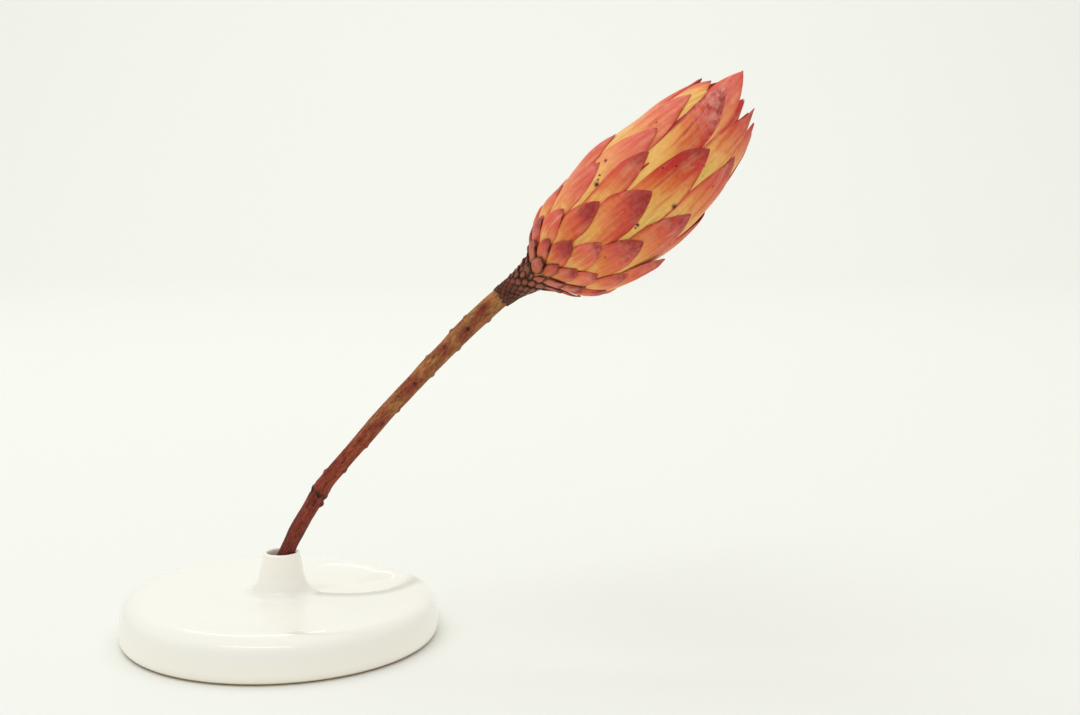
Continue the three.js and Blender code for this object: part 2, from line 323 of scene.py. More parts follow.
@dataclass(frozen=True)
class PaintTable:
    """Lays out the nodes of one material or one node group."""

    tree: Nodes

    def node(self, kind: str, feeds: Feeds | None = None, **settings: Any) -> Any:
        """Adds a node.

        Args:
            kind: The node's type.
            feeds: What each input takes: a signal, an output or a plain value.
            settings: Properties of the node itself.

        Returns:
            The node.
        """
        made = self.tree.nodes.new(kind)
        for name, value in settings.items():
            setattr(made, name, value)
        for name, value in (feeds or {}).items():
            self.feed(made.inputs[name], value)
        return made

    def signal(self, kind: str, feeds: Feeds | None = None, output: str | int = 0, **settings: Any) -> Signal:
        """Adds a node as above and takes up one of its outputs."""
        return Signal(self, self.node(kind, feeds, **settings).outputs[output])

    def feed(self, socket: bpy.types.NodeSocket, value: Any) -> None:
        """Links a signal or an output to an input, or sets the input's own value."""
        if isinstance(value, Signal):
            value = value.socket
        if isinstance(value, bpy.types.NodeSocket):
            self.tree.links.new(value, socket)
        elif value is not None:
            socket.default_value = value

    def maths(self, operation: str, first: Any, second: Any = None) -> Signal:
        """The result of a Math node."""
        return self.signal("ShaderNodeMath", {0: first, 1: second}, operation=operation)

    def vector(self, operation: str, first: Any, second: Any = None, output: str | int = 0) -> Signal:
        """The result of a Vector Math node."""
        return self.signal("ShaderNodeVectorMath", {0: first, 1: second}, output, operation=operation)

    def between(self, value: Any, low: Any, high: Any) -> Signal:
        """0 at low, 1 at high, smooth between and steady beyond."""
        feeds = {"Value": value, "From Min": low, "From Max": high}
        return self.signal("ShaderNodeMapRange", feeds, "Result", interpolation_type="SMOOTHSTEP")

    def fading(self, value: Any, low: Any, high: Any) -> Signal:
        """1 at low, 0 at high, smooth between and steady beyond."""
        return 1.0 - self.between(value, low, high)

    def mix(self, share: Any, first: Any, second: Any, blend: str = "MIX") -> Signal:
        """The blend of two colours."""
        made = self.node("ShaderNodeMix", data_type="RGBA", blend_type=blend, clamp_factor=True)
        self.feed(made.inputs[0], share)
        self.feed(made.inputs[6], first)
        self.feed(made.inputs[7], second)
        return Signal(self, made.outputs[2])

    def shaded(self, colour: Any, shade: Signal) -> Signal:
        """A colour made darker or lighter by a factor."""
        return self.mix(1.0, colour, self.whole(shade, shade, shade), "MULTIPLY")

    def ramp(self, value: Any, stops: Sequence[tuple[float, Colour]]) -> Signal:
        """A colour that runs through stops.

        Args:
            value: How far along the run each spot is.
            stops: The places along it and their colours.

        Returns:
            The colour.
        """
        made = self.node("ShaderNodeValToRGB", {0: value})
        ramp = made.color_ramp
        ramp.interpolation = "EASE"
        while len(ramp.elements) < len(stops):
            ramp.elements.new(0.5)
        for element, (place, colour) in zip(ramp.elements, stops, strict=True):
            element.position = place
            element.color = colour
        return Signal(self, made.outputs["Color"])

    def noise(self, vector: Any, scale: Any, detail: float = 2.0, rough: float = 0.5) -> Signal:
        """A noise value round 0.5."""
        feeds = {"Vector": vector, "Scale": scale, "Detail": detail, "Roughness": rough}
        return self.signal("ShaderNodeTexNoise", feeds)

    def scaled(self, vector: Any, factors: Triple) -> Signal:
        """A vector with each part scaled by its own factor."""
        return self.vector("MULTIPLY", vector, factors)

    def place(self) -> Signal:
        """The place on the piece, in millimetres."""
        return self.scaled(self.node("ShaderNodeTexCoord").outputs["Object"], (1 / MM, 1 / MM, 1 / MM))

    def attribute(self, name: str) -> Signal:
        """A plain attribute of the surface."""
        return self.signal("ShaderNodeAttribute", output="Fac", attribute_name=name)

    def attributes(self, name: str) -> tuple[Signal, Signal, Signal]:
        """The three parts of a vector attribute of the surface."""
        return self.parts(self.signal("ShaderNodeAttribute", output="Vector", attribute_name=name))

    def parts(self, vector: Any) -> tuple[Signal, Signal, Signal]:
        """The three parts of a vector."""
        made = self.node("ShaderNodeSeparateXYZ", {0: vector})
        return tuple(Signal(self, output) for output in made.outputs)

    def whole(self, x: Any, y: Any, z: Any) -> Signal:
        """A vector from its three parts."""
        return self.signal("ShaderNodeCombineXYZ", {0: x, 1: y, 2: z})

    def relief(self, height: Signal, strength: float, depth: float) -> Signal:
        """A surface direction that follows a relief of a depth in millimetres."""
        return self.signal("ShaderNodeBump", {"Height": height, "Strength": strength, "Distance": depth * MM})

    def effect(self, group: Nodes, **feeds: Any) -> list[Signal]:
        """Places a shared effect with its own values.

        Args:
            group: The effect's group.
            feeds: What its inputs take.

        Returns:
            Its outputs.
        """
        made = self.node("ShaderNodeGroup", node_tree=group)
        for name, value in feeds.items():
            self.feed(made.inputs[name], value)
        return [Signal(self, output) for output in made.outputs]


class Effect(Enum):
    """The effects that more than one finish uses."""

    GRAIN = "Lengthwise grain"
    MOTTLE = "Mottle"
    SPECKS = "Specks"


Effects = dict[Effect, Nodes]


def start_group(effect: Effect, **inputs: Any) -> tuple[PaintTable, list[Signal]]:
    """Starts the group of an effect.

    Args:
        effect: Which effect it is.
        inputs: Each input's name and its usual value; a tuple makes it a vector.

    Returns:
        The paint table of the group, and its inputs.
    """
    tree = bpy.data.node_groups.new(effect.value, "ShaderNodeTree")
    for name, value in inputs.items():
        kind = "NodeSocketVector" if isinstance(value, tuple) else "NodeSocketFloat"
        tree.interface.new_socket(name, in_out="INPUT", socket_type=kind).default_value = value
    table = PaintTable(tree)
    given = table.node("NodeGroupInput").outputs
    return table, [Signal(table, given[name]) for name in inputs]


def finish_group(table: PaintTable, **outputs: Signal) -> Nodes:
    """Gives a group its outputs, all plain values."""
    for name in outputs:
        table.tree.interface.new_socket(name, in_out="OUTPUT", socket_type="NodeSocketFloat")
    table.node("NodeGroupOutput", outputs)
    return table.tree


def grain() -> Nodes:
    """Fine fibres and broad streaks along the third part of a vector in millimetres."""
    table, (place, fibres, stretch) = start_group(Effect.GRAIN, Place=(0.0, 0.0, 0.0), Fibres=3.0, Stretch=12.0)
    x, y, z = table.parts(place)
    lane = table.whole(x, y, z / stretch)
    return finish_group(table, Fibre=table.noise(lane, fibres, 3.0), Streak=table.noise(lane, fibres * 0.23))


def mottle() -> Nodes:
    """Soft patches with a chosen size and edge, 0 between them and 1 inside."""
    usual = {"Place": (0.0, 0.0, 0.0), "Size": 4.0, "Cover": 0.5, "Softness": 0.15}
    table, (place, size, cover, softness) = start_group(Effect.MOTTLE, **usual)
    edge = 0.75 - cover * 0.5
    cloud = table.noise(place, 1.0 / size, 3.0)
    return finish_group(table, Mask=table.between(cloud, edge - softness, edge + softness))


def specks() -> Nodes:
    """Small scattered dots, 1 inside a dot."""
    usual = {"Place": (0.0, 0.0, 0.0), "Spacing": 5.0, "Size": 0.25, "Share": 0.4}
    table, (place, spacing, size, share) = start_group(Effect.SPECKS, **usual)
    cells = table.node("ShaderNodeTexVoronoi", {"Vector": place, "Scale": 1.0 / spacing})
    red, green, _ = table.parts(cells.outputs["Color"])
    reach = size * (green + 0.5)
    dot = table.fading(Signal(table, cells.outputs["Distance"]) * spacing, reach * 0.5, reach)
    return finish_group(table, Mask=dot * table.maths("LESS_THAN", red, share))


# ---- Finishes ----


def start_material(name: str, settings: dict[str, Any]) -> tuple[PaintTable, Any, Material]:
    """Starts a material with one Principled shader.

    Args:
        name: The material's name.
        settings: Values of the shader's own sockets that are the same all over.

    Returns:
        Its paint table, the shader and the material.
    """
    material = bpy.data.materials.new(name)
    material.use_nodes = True
    material.node_tree.nodes.clear()
    table = PaintTable(material.node_tree)
    shader = table.node("ShaderNodeBsdfPrincipled", settings)
    table.node("ShaderNodeOutputMaterial", {"Surface": shader.outputs[0]})
    return table, shader, material


def cover(table: PaintTable, shader: Any, colour: Signal, roughness: Signal, relief: Signal) -> None:
    """Feeds a shader its colour, its roughness and its relief."""
    table.feed(shader.inputs["Base Color"], colour)
    table.feed(shader.inputs["Roughness"], roughness)
    table.feed(shader.inputs["Normal"], relief)


@dataclass(frozen=True)
class GlazeFinish:
    """White gloss glaze over a pale body that stays bare on the foot, whose brown is darkened as painted contact
    shade.
    """

    white: Colour = tint(243, 241, 232)
    cream: Colour = tint(251, 247, 236)
    bare_clay_and_contact_shade: Colour = tint(176, 141, 100)
    pinhole: Colour = tint(196, 190, 172)
    # The edge colour is painted shade for the band along the hollow's crest.
    edge: Colour = tint(203, 200, 184)
    low_cream: Pair = (1.0, 13.5)
    # Heights where the neck is painted lighter, as painted light.
    neck_painted_light: Pair = (17.0, 21.0)
    bare_band: Pair = (0.3, 1.0)

    def make(self, effects: Effects) -> Material:
        """Builds the material.

        Args:
            effects: The shared effects.

        Returns:
            The glaze.
        """
        settings = {"IOR": 1.5, "Coat Roughness": 0.03, "Coat IOR": 1.5, "Specular IOR Level": 0.4}
        table, shader, material = start_material("glaze", settings)
        place = table.place()
        _, _, height = table.parts(place)

        # Creamier in patches where the glaze runs thin, and towards the foot; on the neck the cream is painted light,
        # lifting a side that gets little light from above.
        (patches,) = table.effect(effects[Effect.MOTTLE], Place=place, Size=26.0, Cover=0.45, Softness=0.3)
        cream_and_neck_light = table.fading(height, *self.low_cream) + table.between(height, *self.neck_painted_light)
        body = table.mix(patches * 0.2 + cream_and_neck_light, self.white, self.cream)
        # Painted shade: a darker band along the hollow's crest, where its surface turns away from the light.
        body = table.mix(table.attribute("painted_crest_shade"), body, self.edge)
        (holes,) = table.effect(effects[Effect.SPECKS], Place=place, Spacing=17.0, Size=0.42, Share=0.16)
        body = table.mix(holes * 0.75, body, self.pinhole)
        # Bare clay on the foot, its brown darkened to stand as painted contact shade where the vase meets the floor.
        glazed = table.between(height, *self.bare_band)

        # Where it pools in the hollow, it shines less.
        shining = 1.0 - table.attribute("pooled_glaze") * 0.9
        table.feed(shader.inputs["Coat Weight"], glazed * shining)
        level = table.noise(place, 0.13) * 0.9 + table.noise(place, 0.9) * 0.03 - holes * 0.12
        relief = table.relief(level, 0.35, 0.1)
        cover(table, shader, table.mix(glazed, self.bare_clay_and_contact_shade, body), 0.75 - glazed * 0.4, relief)
        table.feed(shader.inputs["Coat Normal"], relief)
        return material


@dataclass(frozen=True)
class BarkFinish:
    """Young bark that runs from maroon at the foot to olive tan with red scars by the head."""

    foot: Colour = tint(98, 44, 34)
    middle: Colour = tint(150, 66, 43)
    top: Colour = tint(176, 112, 66)
    olive: Colour = tint(158, 126, 68)
    red: Colour = tint(132, 44, 32)
    scar: Colour = tint(52, 29, 22)
    cut: Colour = tint(196, 168, 120)
    length: float = 150.0
    olive_from: Pair = (70.0, 125.0)

    def make(self, effects: Effects) -> Material:
        """Builds the material.

        Args:
            effects: The shared effects.

        Returns:
            The bark.
        """
        table, shader, material = start_material("bark", {"IOR": 1.4, "Specular IOR Level": 0.3})
        route = table.signal("ShaderNodeAttribute", output="Vector", attribute_name="bark_route")
        _, _, distance = table.parts(route)
        scar, blush, end = table.attributes("bark_marks")
        fibre, streak = table.effect(effects[Effect.GRAIN], Place=route, Fibres=2.6, Stretch=5.0)
        patches = effects[Effect.MOTTLE]

        along = (distance + (streak - 0.5) * 90.0) / self.length
        stops = ((0.12, self.foot), (0.45, self.middle), (0.72, self.top), (1.0, self.top))
        skin = table.ramp(along, stops)
        stretched = table.scaled(route, (1, 1, 0.35))
        (green,) = table.effect(patches, Place=stretched, Size=2.6, Cover=0.5, Softness=0.1)
        skin = table.mix(green * table.between(distance, *self.olive_from) * 0.7, skin, self.olive)
        stretched = table.scaled(route, (0.8, 0.8, 0.25))
        (redder,) = table.effect(patches, Place=stretched, Size=2.2, Cover=0.42, Softness=0.08)
        skin = table.mix(redder * 0.55, skin, self.red)
        skin = table.mix(blush * 0.85, skin, self.red)

        rough = table.noise(table.scaled(route, (1, 1, 0.5)), 1.4, 4.0, 0.7)
        skin = table.shaded(skin, fibre * 1.8 + rough * 2.0 - 0.9)
        skin = table.mix(table.fading(fibre, 0.3, 0.42) * 0.55, skin, self.scar)
        ragged = scar + (rough - 0.5) * 1.6
        skin = table.mix(table.between(ragged, 0.3, 0.9), skin, self.scar)
        skin = table.mix(end, skin, self.cut)
        relief = table.relief(fibre + rough + streak * 0.8, 1.0, 0.6)
        cover(table, shader, skin, fibre * 0.3 + 0.42, relief)
        return material


@dataclass(frozen=True)
class Blemish:
    """A brown spot on the head's skin: where it is, its three directions and its radius."""

    place: Vector
    across: Vector
    along: Vector
    outward: Vector
    radius: float


@dataclass(frozen=True)
class BractSkinFinish:
    """The outer face of a bract: crimson or purple tip, red, coral and orange down to yellow."""

    purple: Colour = tint(126, 28, 34)
    crimson: Colour = tint(158, 34, 32)
    deep_run: tuple[Colour, ...] = (
        tint(172, 36, 32), tint(188, 46, 36), tint(204, 76, 44), tint(216, 110, 56), tint(226, 152, 76),
    )
    pale_run: tuple[Colour, ...] = (
        tint(214, 102, 90), tint(222, 112, 94), tint(226, 122, 90), tint(232, 146, 94), tint(238, 178, 104),
    )
    run_stops: tuple[float, ...] = (0.1, 0.3, 0.52, 0.74, 0.95)
    dull: Colour = tint(158, 84, 62)
    yellow: Colour = tint(236, 188, 104)
    green: Colour = tint(216, 180, 86)
    red_margin: Colour = tint(194, 40, 34)
    pink_margin: Colour = tint(220, 92, 76)
    frost: Colour = tint(230, 156, 140)
    bleached: Colour = tint(244, 196, 134)
    flush_share: float = 0.3
    bleached_share: float = 0.24
    speck: Colour = tint(66, 32, 20)
    spot: Colour = tint(74, 30, 10)
    blemishes: tuple[Blemish, ...] = ()

    def make(self, effects: Effects) -> Material:
        """Builds the material.

        Args:
            effects: The shared effects.

        Returns:
            The skin.
        """
        settings = {"IOR": 1.42, "Specular IOR Level": 0.28, "Subsurface Weight": 0.06}
        settings |= {"Subsurface Radius": (1.0, 0.35, 0.15), "Subsurface Scale": 0.8 * MM}
        table, shader, material = start_material("bract skin", settings)
        across, below, margin = table.attributes("blade")
        dark, reach, purple = table.attributes("blush")
        frost, lean, green = table.attributes("bloom")
        rim, seed, brown = table.attributes("nature")
        rich = table.attribute("richness")

        place = table.whole(across, seed * 60.0, below)
        fibre, streak = table.effect(effects[Effect.GRAIN], Place=place, Fibres=1.5, Stretch=13.0)
        patch = table.noise(place, 0.2, 3.0, 0.6)
        patchy = patch - 0.5
        wander = patchy * 1.5 + (streak - 0.5) * 0.4

        # How far down its run of colours each spot is, with the streaks pulling it about.
        run = (below + wander * (reach * 0.42) - across * lean) / reach
        run = run + (fibre - 0.5) * 0.1
        deep = table.ramp(run, tuple(zip(self.run_stops, self.deep_run, strict=True)))
        pale = table.ramp(run, tuple(zip(self.run_stops, self.pale_run, strict=True)))
        skin = table.mix(rich, pale, deep)
        skin = table.mix(table.between(run, 0.85, 1.4), skin, table.mix(green, self.yellow, self.green))

        # Margins stay pink or red while the middle turns yellow.
        edge = table.fading(margin, 0.1, patch * 2.6 + 0.5)
        edge = edge * rim * table.fading(below, reach, reach * 1.9)
        skin = table.mix(edge, skin, table.mix(rich, self.pink_margin, self.red_margin))

        # Crimson and pale fingers follow the fibres.
        lanes = table.whole(across, seed * 37.0, below)
        _, finger = table.effect(effects[Effect.GRAIN], Place=lanes, Fibres=3.0, Stretch=9.0)
        above = table.fading(below, reach * 0.8, reach * 2.0)
        flushed = table.between(finger, 0.5, 0.66) * above
        skin = table.mix(flushed * self.flush_share, skin, self.red_margin)
        bleached = table.fading(finger + patch, 0.7, 1.06)
        skin = table.mix(bleached * self.bleached_share, skin, self.bleached)

        # Some have a crimson ridge down one margin, and beside their middle a crimson line that is painted shade
        # along a fold.
        ridge_and_fold_shade = table.attribute("ridge_and_fold_shade")
        strip = table.fading(margin + patchy, 0.9, 2.6) * table.fading(across, -2.0, -1.0)
        skin = table.mix(strip * table.fading(below, 30.0, 46.0) * ridge_and_fold_shade, skin, self.crimson)
        painted_fold_shade = table.fading(abs(across + 1.2 + patchy * 1.2), 0.15, 0.7)
        painted_fold_shade = painted_fold_shade * table.between(below, 5.0, 9.0) * table.fading(below, 20.0, 28.0)
        skin = table.mix(painted_fold_shade * (ridge_and_fold_shade * 0.75), skin, self.crimson)

        # Fine red veins.
        veins = table.between(fibre, 0.56, 0.7) * table.between(patch, 0.42, 0.6)
        skin = table.mix(veins * 0.4, skin, self.red_margin)

        # The dark tip is crimson or purple brown.
        ragged = below + wander * (dark * 0.9) - across * lean * 0.5 + abs(across) * 0.25
        tip = table.fading(ragged, dark * 0.2, dark * 1.6)
        skin = table.mix(tip * 0.85, skin, self.crimson)
        core = tip * table.between(margin + patchy, 0.2, 1.6) * purple
        skin = table.mix(core * 0.82, skin, self.purple)

        # The lowest scales are dull, with brown lines along their margins. Frost lies over the tips.
        skin = table.mix(brown * 0.6, skin, self.dull)
        (bloom,) = table.effect(effects[Effect.MOTTLE], Place=place, Size=1.6, Cover=0.5, Softness=0.26)
        powder = bloom * (frost * 0.85) * table.fading(below, dark * 0.9, dark * 2.6)
        skin = table.mix(powder, skin, self.frost)
        skin = table.mix(table.fading(margin, 0.15, 1.0) * brown, skin, self.speck)

        skin = table.shaded(skin, fibre * 0.24 + table.noise(place, 0.7, 3.0) * 0.3 + 0.77)
        (dots,) = table.effect(effects[Effect.SPECKS], Place=place, Spacing=3.6, Size=0.24, Share=0.22)
        skin = table.mix(dots * 0.6, skin, self.speck)
        skin = table.mix(self._spots(table), skin, self.spot)
        relief = table.relief(fibre + streak * 1.6, 0.7, 0.16)
        cover(table, shader, skin, fibre * 0.16 + 0.38 + powder * 0.25, relief)
        return material

    def _spots(self, table: PaintTable) -> Any:
        """The mask of the few large brown blemishes.

        Args:
            table: The paint table of the material.

        Returns:
            1 inside a blemish, 0 elsewhere.
        """
        place = table.place()
        ragged = (table.noise(place, 1.3, 1.0) - 0.5) * 1.1
        whole: Any = 0.0
        for blemish in self.blemishes:
            offset = table.vector("SUBTRACT", place, blemish.place)
            directions = (blemish.across, blemish.along, blemish.outward)
            across, along, outward = (table.vector("DOT_PRODUCT", offset, way, "Value") for way in directions)
            near = table.maths("LESS_THAN", abs(outward), 5.0)
            away = table.vector("LENGTH", table.whole(across, along, 0.0), output="Value") + ragged
            inside = table.fading(away, blemish.radius * 0.2, blemish.radius * 1.4)
            whole = table.maths("MAXIMUM", whole, inside * near)
        return whole


@dataclass(frozen=True)
class BractLiningFinish:
    """The inner face of a bract: smooth pale yellow, flushed pink towards its tip."""

    cream: Colour = tint(238, 202, 122)
    yellow: Colour = tint(234, 172, 82)
    flush: Colour = tint(224, 104, 84)
    run: float = 22.0

    def make(self, effects: Effects) -> Material:
        """Builds the material.

        Args:
            effects: The shared effects.

        Returns:
            The lining.
        """
        settings = {"IOR": 1.42, "Specular IOR Level": 0.3, "Subsurface Weight": 0.12}
        settings |= {"Subsurface Radius": (1.0, 0.5, 0.2), "Subsurface Scale": 1.0 * MM}
        table, shader, material = start_material("bract lining", settings)
        across, below, margin = table.attributes("blade")
        _, seed, _ = table.attributes("nature")
        place = table.whole(across, seed * 60.0, below)
        fibre, streak = table.effect(effects[Effect.GRAIN], Place=place, Fibres=2.0, Stretch=16.0)
        stops = ((0.0, self.flush), (0.3, self.yellow), (0.75, self.cream), (1.0, self.cream))
        skin = table.ramp((below + (streak - 0.5) * 8.0) / self.run, stops)
        skin = table.mix(table.fading(margin, 0.0, 0.8) * 0.6, skin, self.flush)
        cover(table, shader, skin, fibre * 0.2 + 0.34, table.relief(fibre, 0.5, 0.12))
        return material


@dataclass(frozen=True)
class ScaleFinish:
    """The small scales of the neck: dark brown edges round dull pink middles."""

    edge: Colour = tint(70, 31, 17)
    middle: Colour = tint(170, 110, 86)
    warm: Colour = tint(132, 52, 32)

    def make(self, effects: Effects) -> Material:
        """Builds the material.

        Args:
            effects: The shared effects, which this finish does without.

        Returns:
            The scales' finish.
        """
        table, shader, material = start_material("neck scale", {"IOR": 1.45, "Specular IOR Level": 0.3})
        inner, seed, pale = table.attributes("scale_face")
        fine = table.noise(table.place(), 2.6, 3.0)
        body = table.mix(seed * 0.8, self.middle, self.warm)
        share = table.between(inner + (fine - 0.5) * 0.5, 0.22, 0.62) * pale
        skin = table.mix(share + (seed - 0.5) * 0.12, self.edge, body)
        cover(table, shader, skin, fine * 0.25 + 0.36, table.relief(fine, 0.6, 0.12))
        return material


@dataclass(frozen=True)
class FloretFinish:
    """Straight florets, yellow at the foot, with silky cream hairs that blush at the tips."""

    foot: Colour = tint(206, 172, 92)
    silk: Colour = tint(240, 222, 184)
    blush: Colour = tint(206, 120, 104)

    def make(self, effects: Effects) -> Material:
        """Builds the material.

        Args:
            effects: The shared effects.

        Returns:
            The florets' finish.
        """
        settings = {"IOR": 1.45, "Sheen Weight": 0.5, "Sheen Roughness": 0.3}
        table, shader, material = start_material("floret", settings)
        turn, seed, along = table.attributes("floret_route")
        place = table.whole(turn * 3.0, seed * 90.0, along * 60.0)
        fibre, _ = table.effect(effects[Effect.GRAIN], Place=place, Fibres=2.4, Stretch=10.0)
        stops = ((0.0, self.foot), (0.55, self.silk), (0.9, self.silk), (1.0, self.blush))
        skin = table.shaded(table.ramp(along, stops), fibre * 0.8 + 0.6)
        cover(table, shader, skin, fibre * 0.3 + 0.5, table.relief(fibre, 0.9, 0.15))
        return material


@dataclass(frozen=True)
class PaperFinish:
    """The plain pale paper that the studio is lined with."""

    colour: Colour = tint(238, 239, 233)

    def make(self) -> Material:
        """Builds the paper's material."""
        table, shader, material = start_material("studio paper", {"Specular IOR Level": 0.1})
        fine = table.noise(table.node("ShaderNodeTexCoord").outputs["Object"], 900.0)
        skin = table.shaded(self.colour, fine * 0.02 + 0.99)
        table.feed(shader.inputs["Base Color"], skin)
        table.feed(shader.inputs["Roughness"], fine * 0.1 + 0.85)
        return material


# ---- Vase ----


def curve(steps: int, *pulls: Pair) -> list[Pair]:
    """Points of a curve that leaves the first pull towards the next and ends at the last.

    Args:
        steps: How many points.
        pulls: The start, what draws the curve on its way, and the end.

    Returns:
        The points after the start; two pulls give a straight line.
    """
    points = []
    for step in range(1, steps + 1):
        row = list(pulls)
        while len(row) > 1:
            row = [(lerp(a[0], b[0], step / steps), lerp(a[1], b[1], step / steps)) for a, b in zip(row, row[1:])]
        points.append(row[0])
    return points


@dataclass
class Vase:
    """The glazed bud vase: a flat round body, one conical neck and a hollow in its top."""

    foot_radius: float = 54.9
    body_radius: float = 57.0
    widest_height: float = 4.1
    shoulder_radius: float = 44.0
    shoulder_fullness: float = 3.6
    top_radius: float = 52.4
    top_height: float = 15.2
    neck_offset: float = 0.8
    neck_offset_radius: float = 44.0
    neck_foot_radius: float = 16.0
    neck_foot_height: float = 15.8
    neck_radius: float = 8.1
    neck_bottom: float = 22.0
    lip_radius: float = 6.75
    lip_rounding: float = 1.1
    mouth_radius: float = 5.13
    mouth_height: float = 30.6
    bore_bottom: float = 27.0
    throat_radius: float = 13.0
    floor_thickness: float = 4.0
    wall: float = 3.6
    inner_rounding: float = 4.0
    swell_height: float = 2.0
    swell_degrees: float = 160.0
    scoop_centre: Pair = (21.5, 22.5)
    scoop_radius: float = 25.0
    scoop_depth: float = 4.4
    scoop_crest_degrees: float = -66.5
    scoop_widths: Pair = (26.0, 7.0)
    neck_clear: Pair = (9.0, 17.0)
    rim_clear: Pair = (1.0, 22.0)
    crest_clear: Pair = (10.0, 15.0)
    crest_shade_band: Pair = (-1.4, 4.4)
    pooling: Pair = (0.1, 1.2)
    swell_half_degrees: float = 95.0
    swell_radii: Pair = (18.0, 48.0)
    segments: int = 144

    def _shoulder(self, steps: int) -> list[Pair]:
        """Points of the full, soft shoulder from the side to the top."""
        wide, tall = self.body_radius - self.shoulder_radius, self.top_height - self.widest_height
        points = []
        for step in range(1, steps + 1):
            turn, power = step / steps * math.pi / 2, 2 / self.shoulder_fullness
            out, rise = max(0.0, math.cos(turn)) ** power, math.sin(turn) ** power
            points.append((self.shoulder_radius + wide * out, self.widest_height + tall * rise))
        return points

    def _top(self, steps: int) -> list[Pair]:
        """Points of the nearly flat top, which swells a little towards the neck."""
        points = []
        for share in (step / steps for step in range(1, steps + 1)):
            rise = math.sin(share * math.pi / 2) ** 2 * (self.neck_foot_height - self.top_height)
            points.append((lerp(self.shoulder_radius, self.neck_foot_radius, share), self.top_height + rise))
        return points

    def section(self) -> list[Pair]:
        """Half the vase's section, from the middle of the foot round to the middle of the floor.

        Returns:
            Pairs of radius and height.
        """
        neck_foot = (self.neck_foot_radius, self.neck_foot_height)
        neck_bottom = (self.neck_radius, self.neck_bottom)
        lip_outside = (self.lip_radius, self.mouth_height - self.lip_rounding)
        lip_top = ((self.lip_radius + self.mouth_radius) / 2, self.mouth_height)
        lip_inside = (self.mouth_radius, self.mouth_height - self.lip_rounding)
        bore_bottom = (self.mouth_radius, self.bore_bottom)
        inner_radius = self.body_radius - self.wall
        ceiling = self.top_height - self.wall
        middle = (ceiling + self.floor_thickness) / 2
        throat = (self.throat_radius, ceiling + 0.6)
        ceiling_edge = (inner_radius - self.inner_rounding, ceiling)
        floor_edge = (inner_radius - self.inner_rounding, self.floor_thickness)
        ground, foot = (self.foot_radius - 0.4, 0.0), (self.foot_radius, 0.0)
        heel = (self.foot_radius + 0.5, 0.55)
        widest = (self.body_radius, self.widest_height)
        return [
            (0.0, 0.0),
            *curve(3, (0.0, 0.0), ground),
            *curve(1, ground, foot),
            *curve(2, foot, heel),
            *curve(10, heel, (self.body_radius, 1.2), widest),
            *self._shoulder(34),
            *self._top(34),
            *curve(18, neck_foot, (10.0, self.neck_foot_height), (9.2, 18.2), neck_bottom),
            *curve(6, neck_bottom, lip_outside),
            *curve(6, lip_outside, (self.lip_radius, self.mouth_height), lip_top),
            *curve(6, lip_top, (self.mouth_radius, self.mouth_height), lip_inside),
            *curve(3, lip_inside, bore_bottom),
            *curve(12, bore_bottom, (5.6, 21.0), (7.2, 14.0), throat),
            *curve(26, throat, ceiling_edge),
            *curve(6, ceiling_edge, (inner_radius, ceiling), (inner_radius, middle)),
            *curve(6, (inner_radius, middle), (inner_radius, self.floor_thickness), floor_edge),
            *curve(4, floor_edge, (0.0, self.floor_thickness)),
        ]

    def _to_crest(self, x: float, y: float) -> Pair:
        """How far a point of the plan lies inside the hollow's crest, and how much it faces its steep side."""
        beside, beyond = x - self.scoop_centre[0], y - self.scoop_centre[1]
        turn = math.atan2(beyond, beside) - math.radians(self.scoop_crest_degrees)
        facing = smoothstep((1 + math.cos(turn)) / 2, 0.35, 0.8)
        return self.scoop_radius - math.hypot(beside, beyond), facing

    def _painted_crest_shade(self, x: float, y: float) -> float:
        """How much painted shade darkens the glaze along the hollow's crest at a point of the plan."""
        inside, facing = self._to_crest(x, y)
        off_neck = smoothstep(math.hypot(x - self.neck_offset, y), *self.crest_clear)
        return bump(inside, *self.crest_shade_band) * facing * off_neck

    def _scooped(self, x: float, y: float) -> float:
        """Depth of the hollow at a point of the plan."""
        inside, facing = self._to_crest(x, y)
        gentle, steep = self.scoop_widths
        inward = smoothstep(inside, 0.0, lerp(gentle, steep, facing))
        off_neck = smoothstep(math.hypot(x - self.neck_offset, y), *self.neck_clear)
        off_rim = smoothstep(self.top_radius - math.hypot(x, y), *self.rim_clear)
        return self.scoop_depth * inward * off_neck * off_rim

    def _swollen(self, x: float, y: float) -> float:
        """How far the top rises at a point of the plan, towards the thick side of the body."""
        away = turn_between(math.degrees(math.atan2(y, x)), self.swell_degrees)
        outer = smoothstep(math.hypot(x, y), *self.swell_radii)
        return self.swell_height * bump(away, 0.0, self.swell_half_degrees) * outer

    def _settled(self, point: Vector) -> Vector:
        """Where a point of the turned vase goes: the neck off centre, the hollow pressed in."""
        x, y, z = point / MM
        outward = smoothstep(math.hypot(x, y), self.neck_foot_radius, self.neck_offset_radius)
        x += self.neck_offset * (1 - outward)
        ceiling = self.top_height - self.wall
        on_top = smoothstep(z, ceiling - 2, ceiling - 0.5)
        return Vector((x, y, z + on_top * (self._swollen(x, y) - self._scooped(x, y)))) * MM

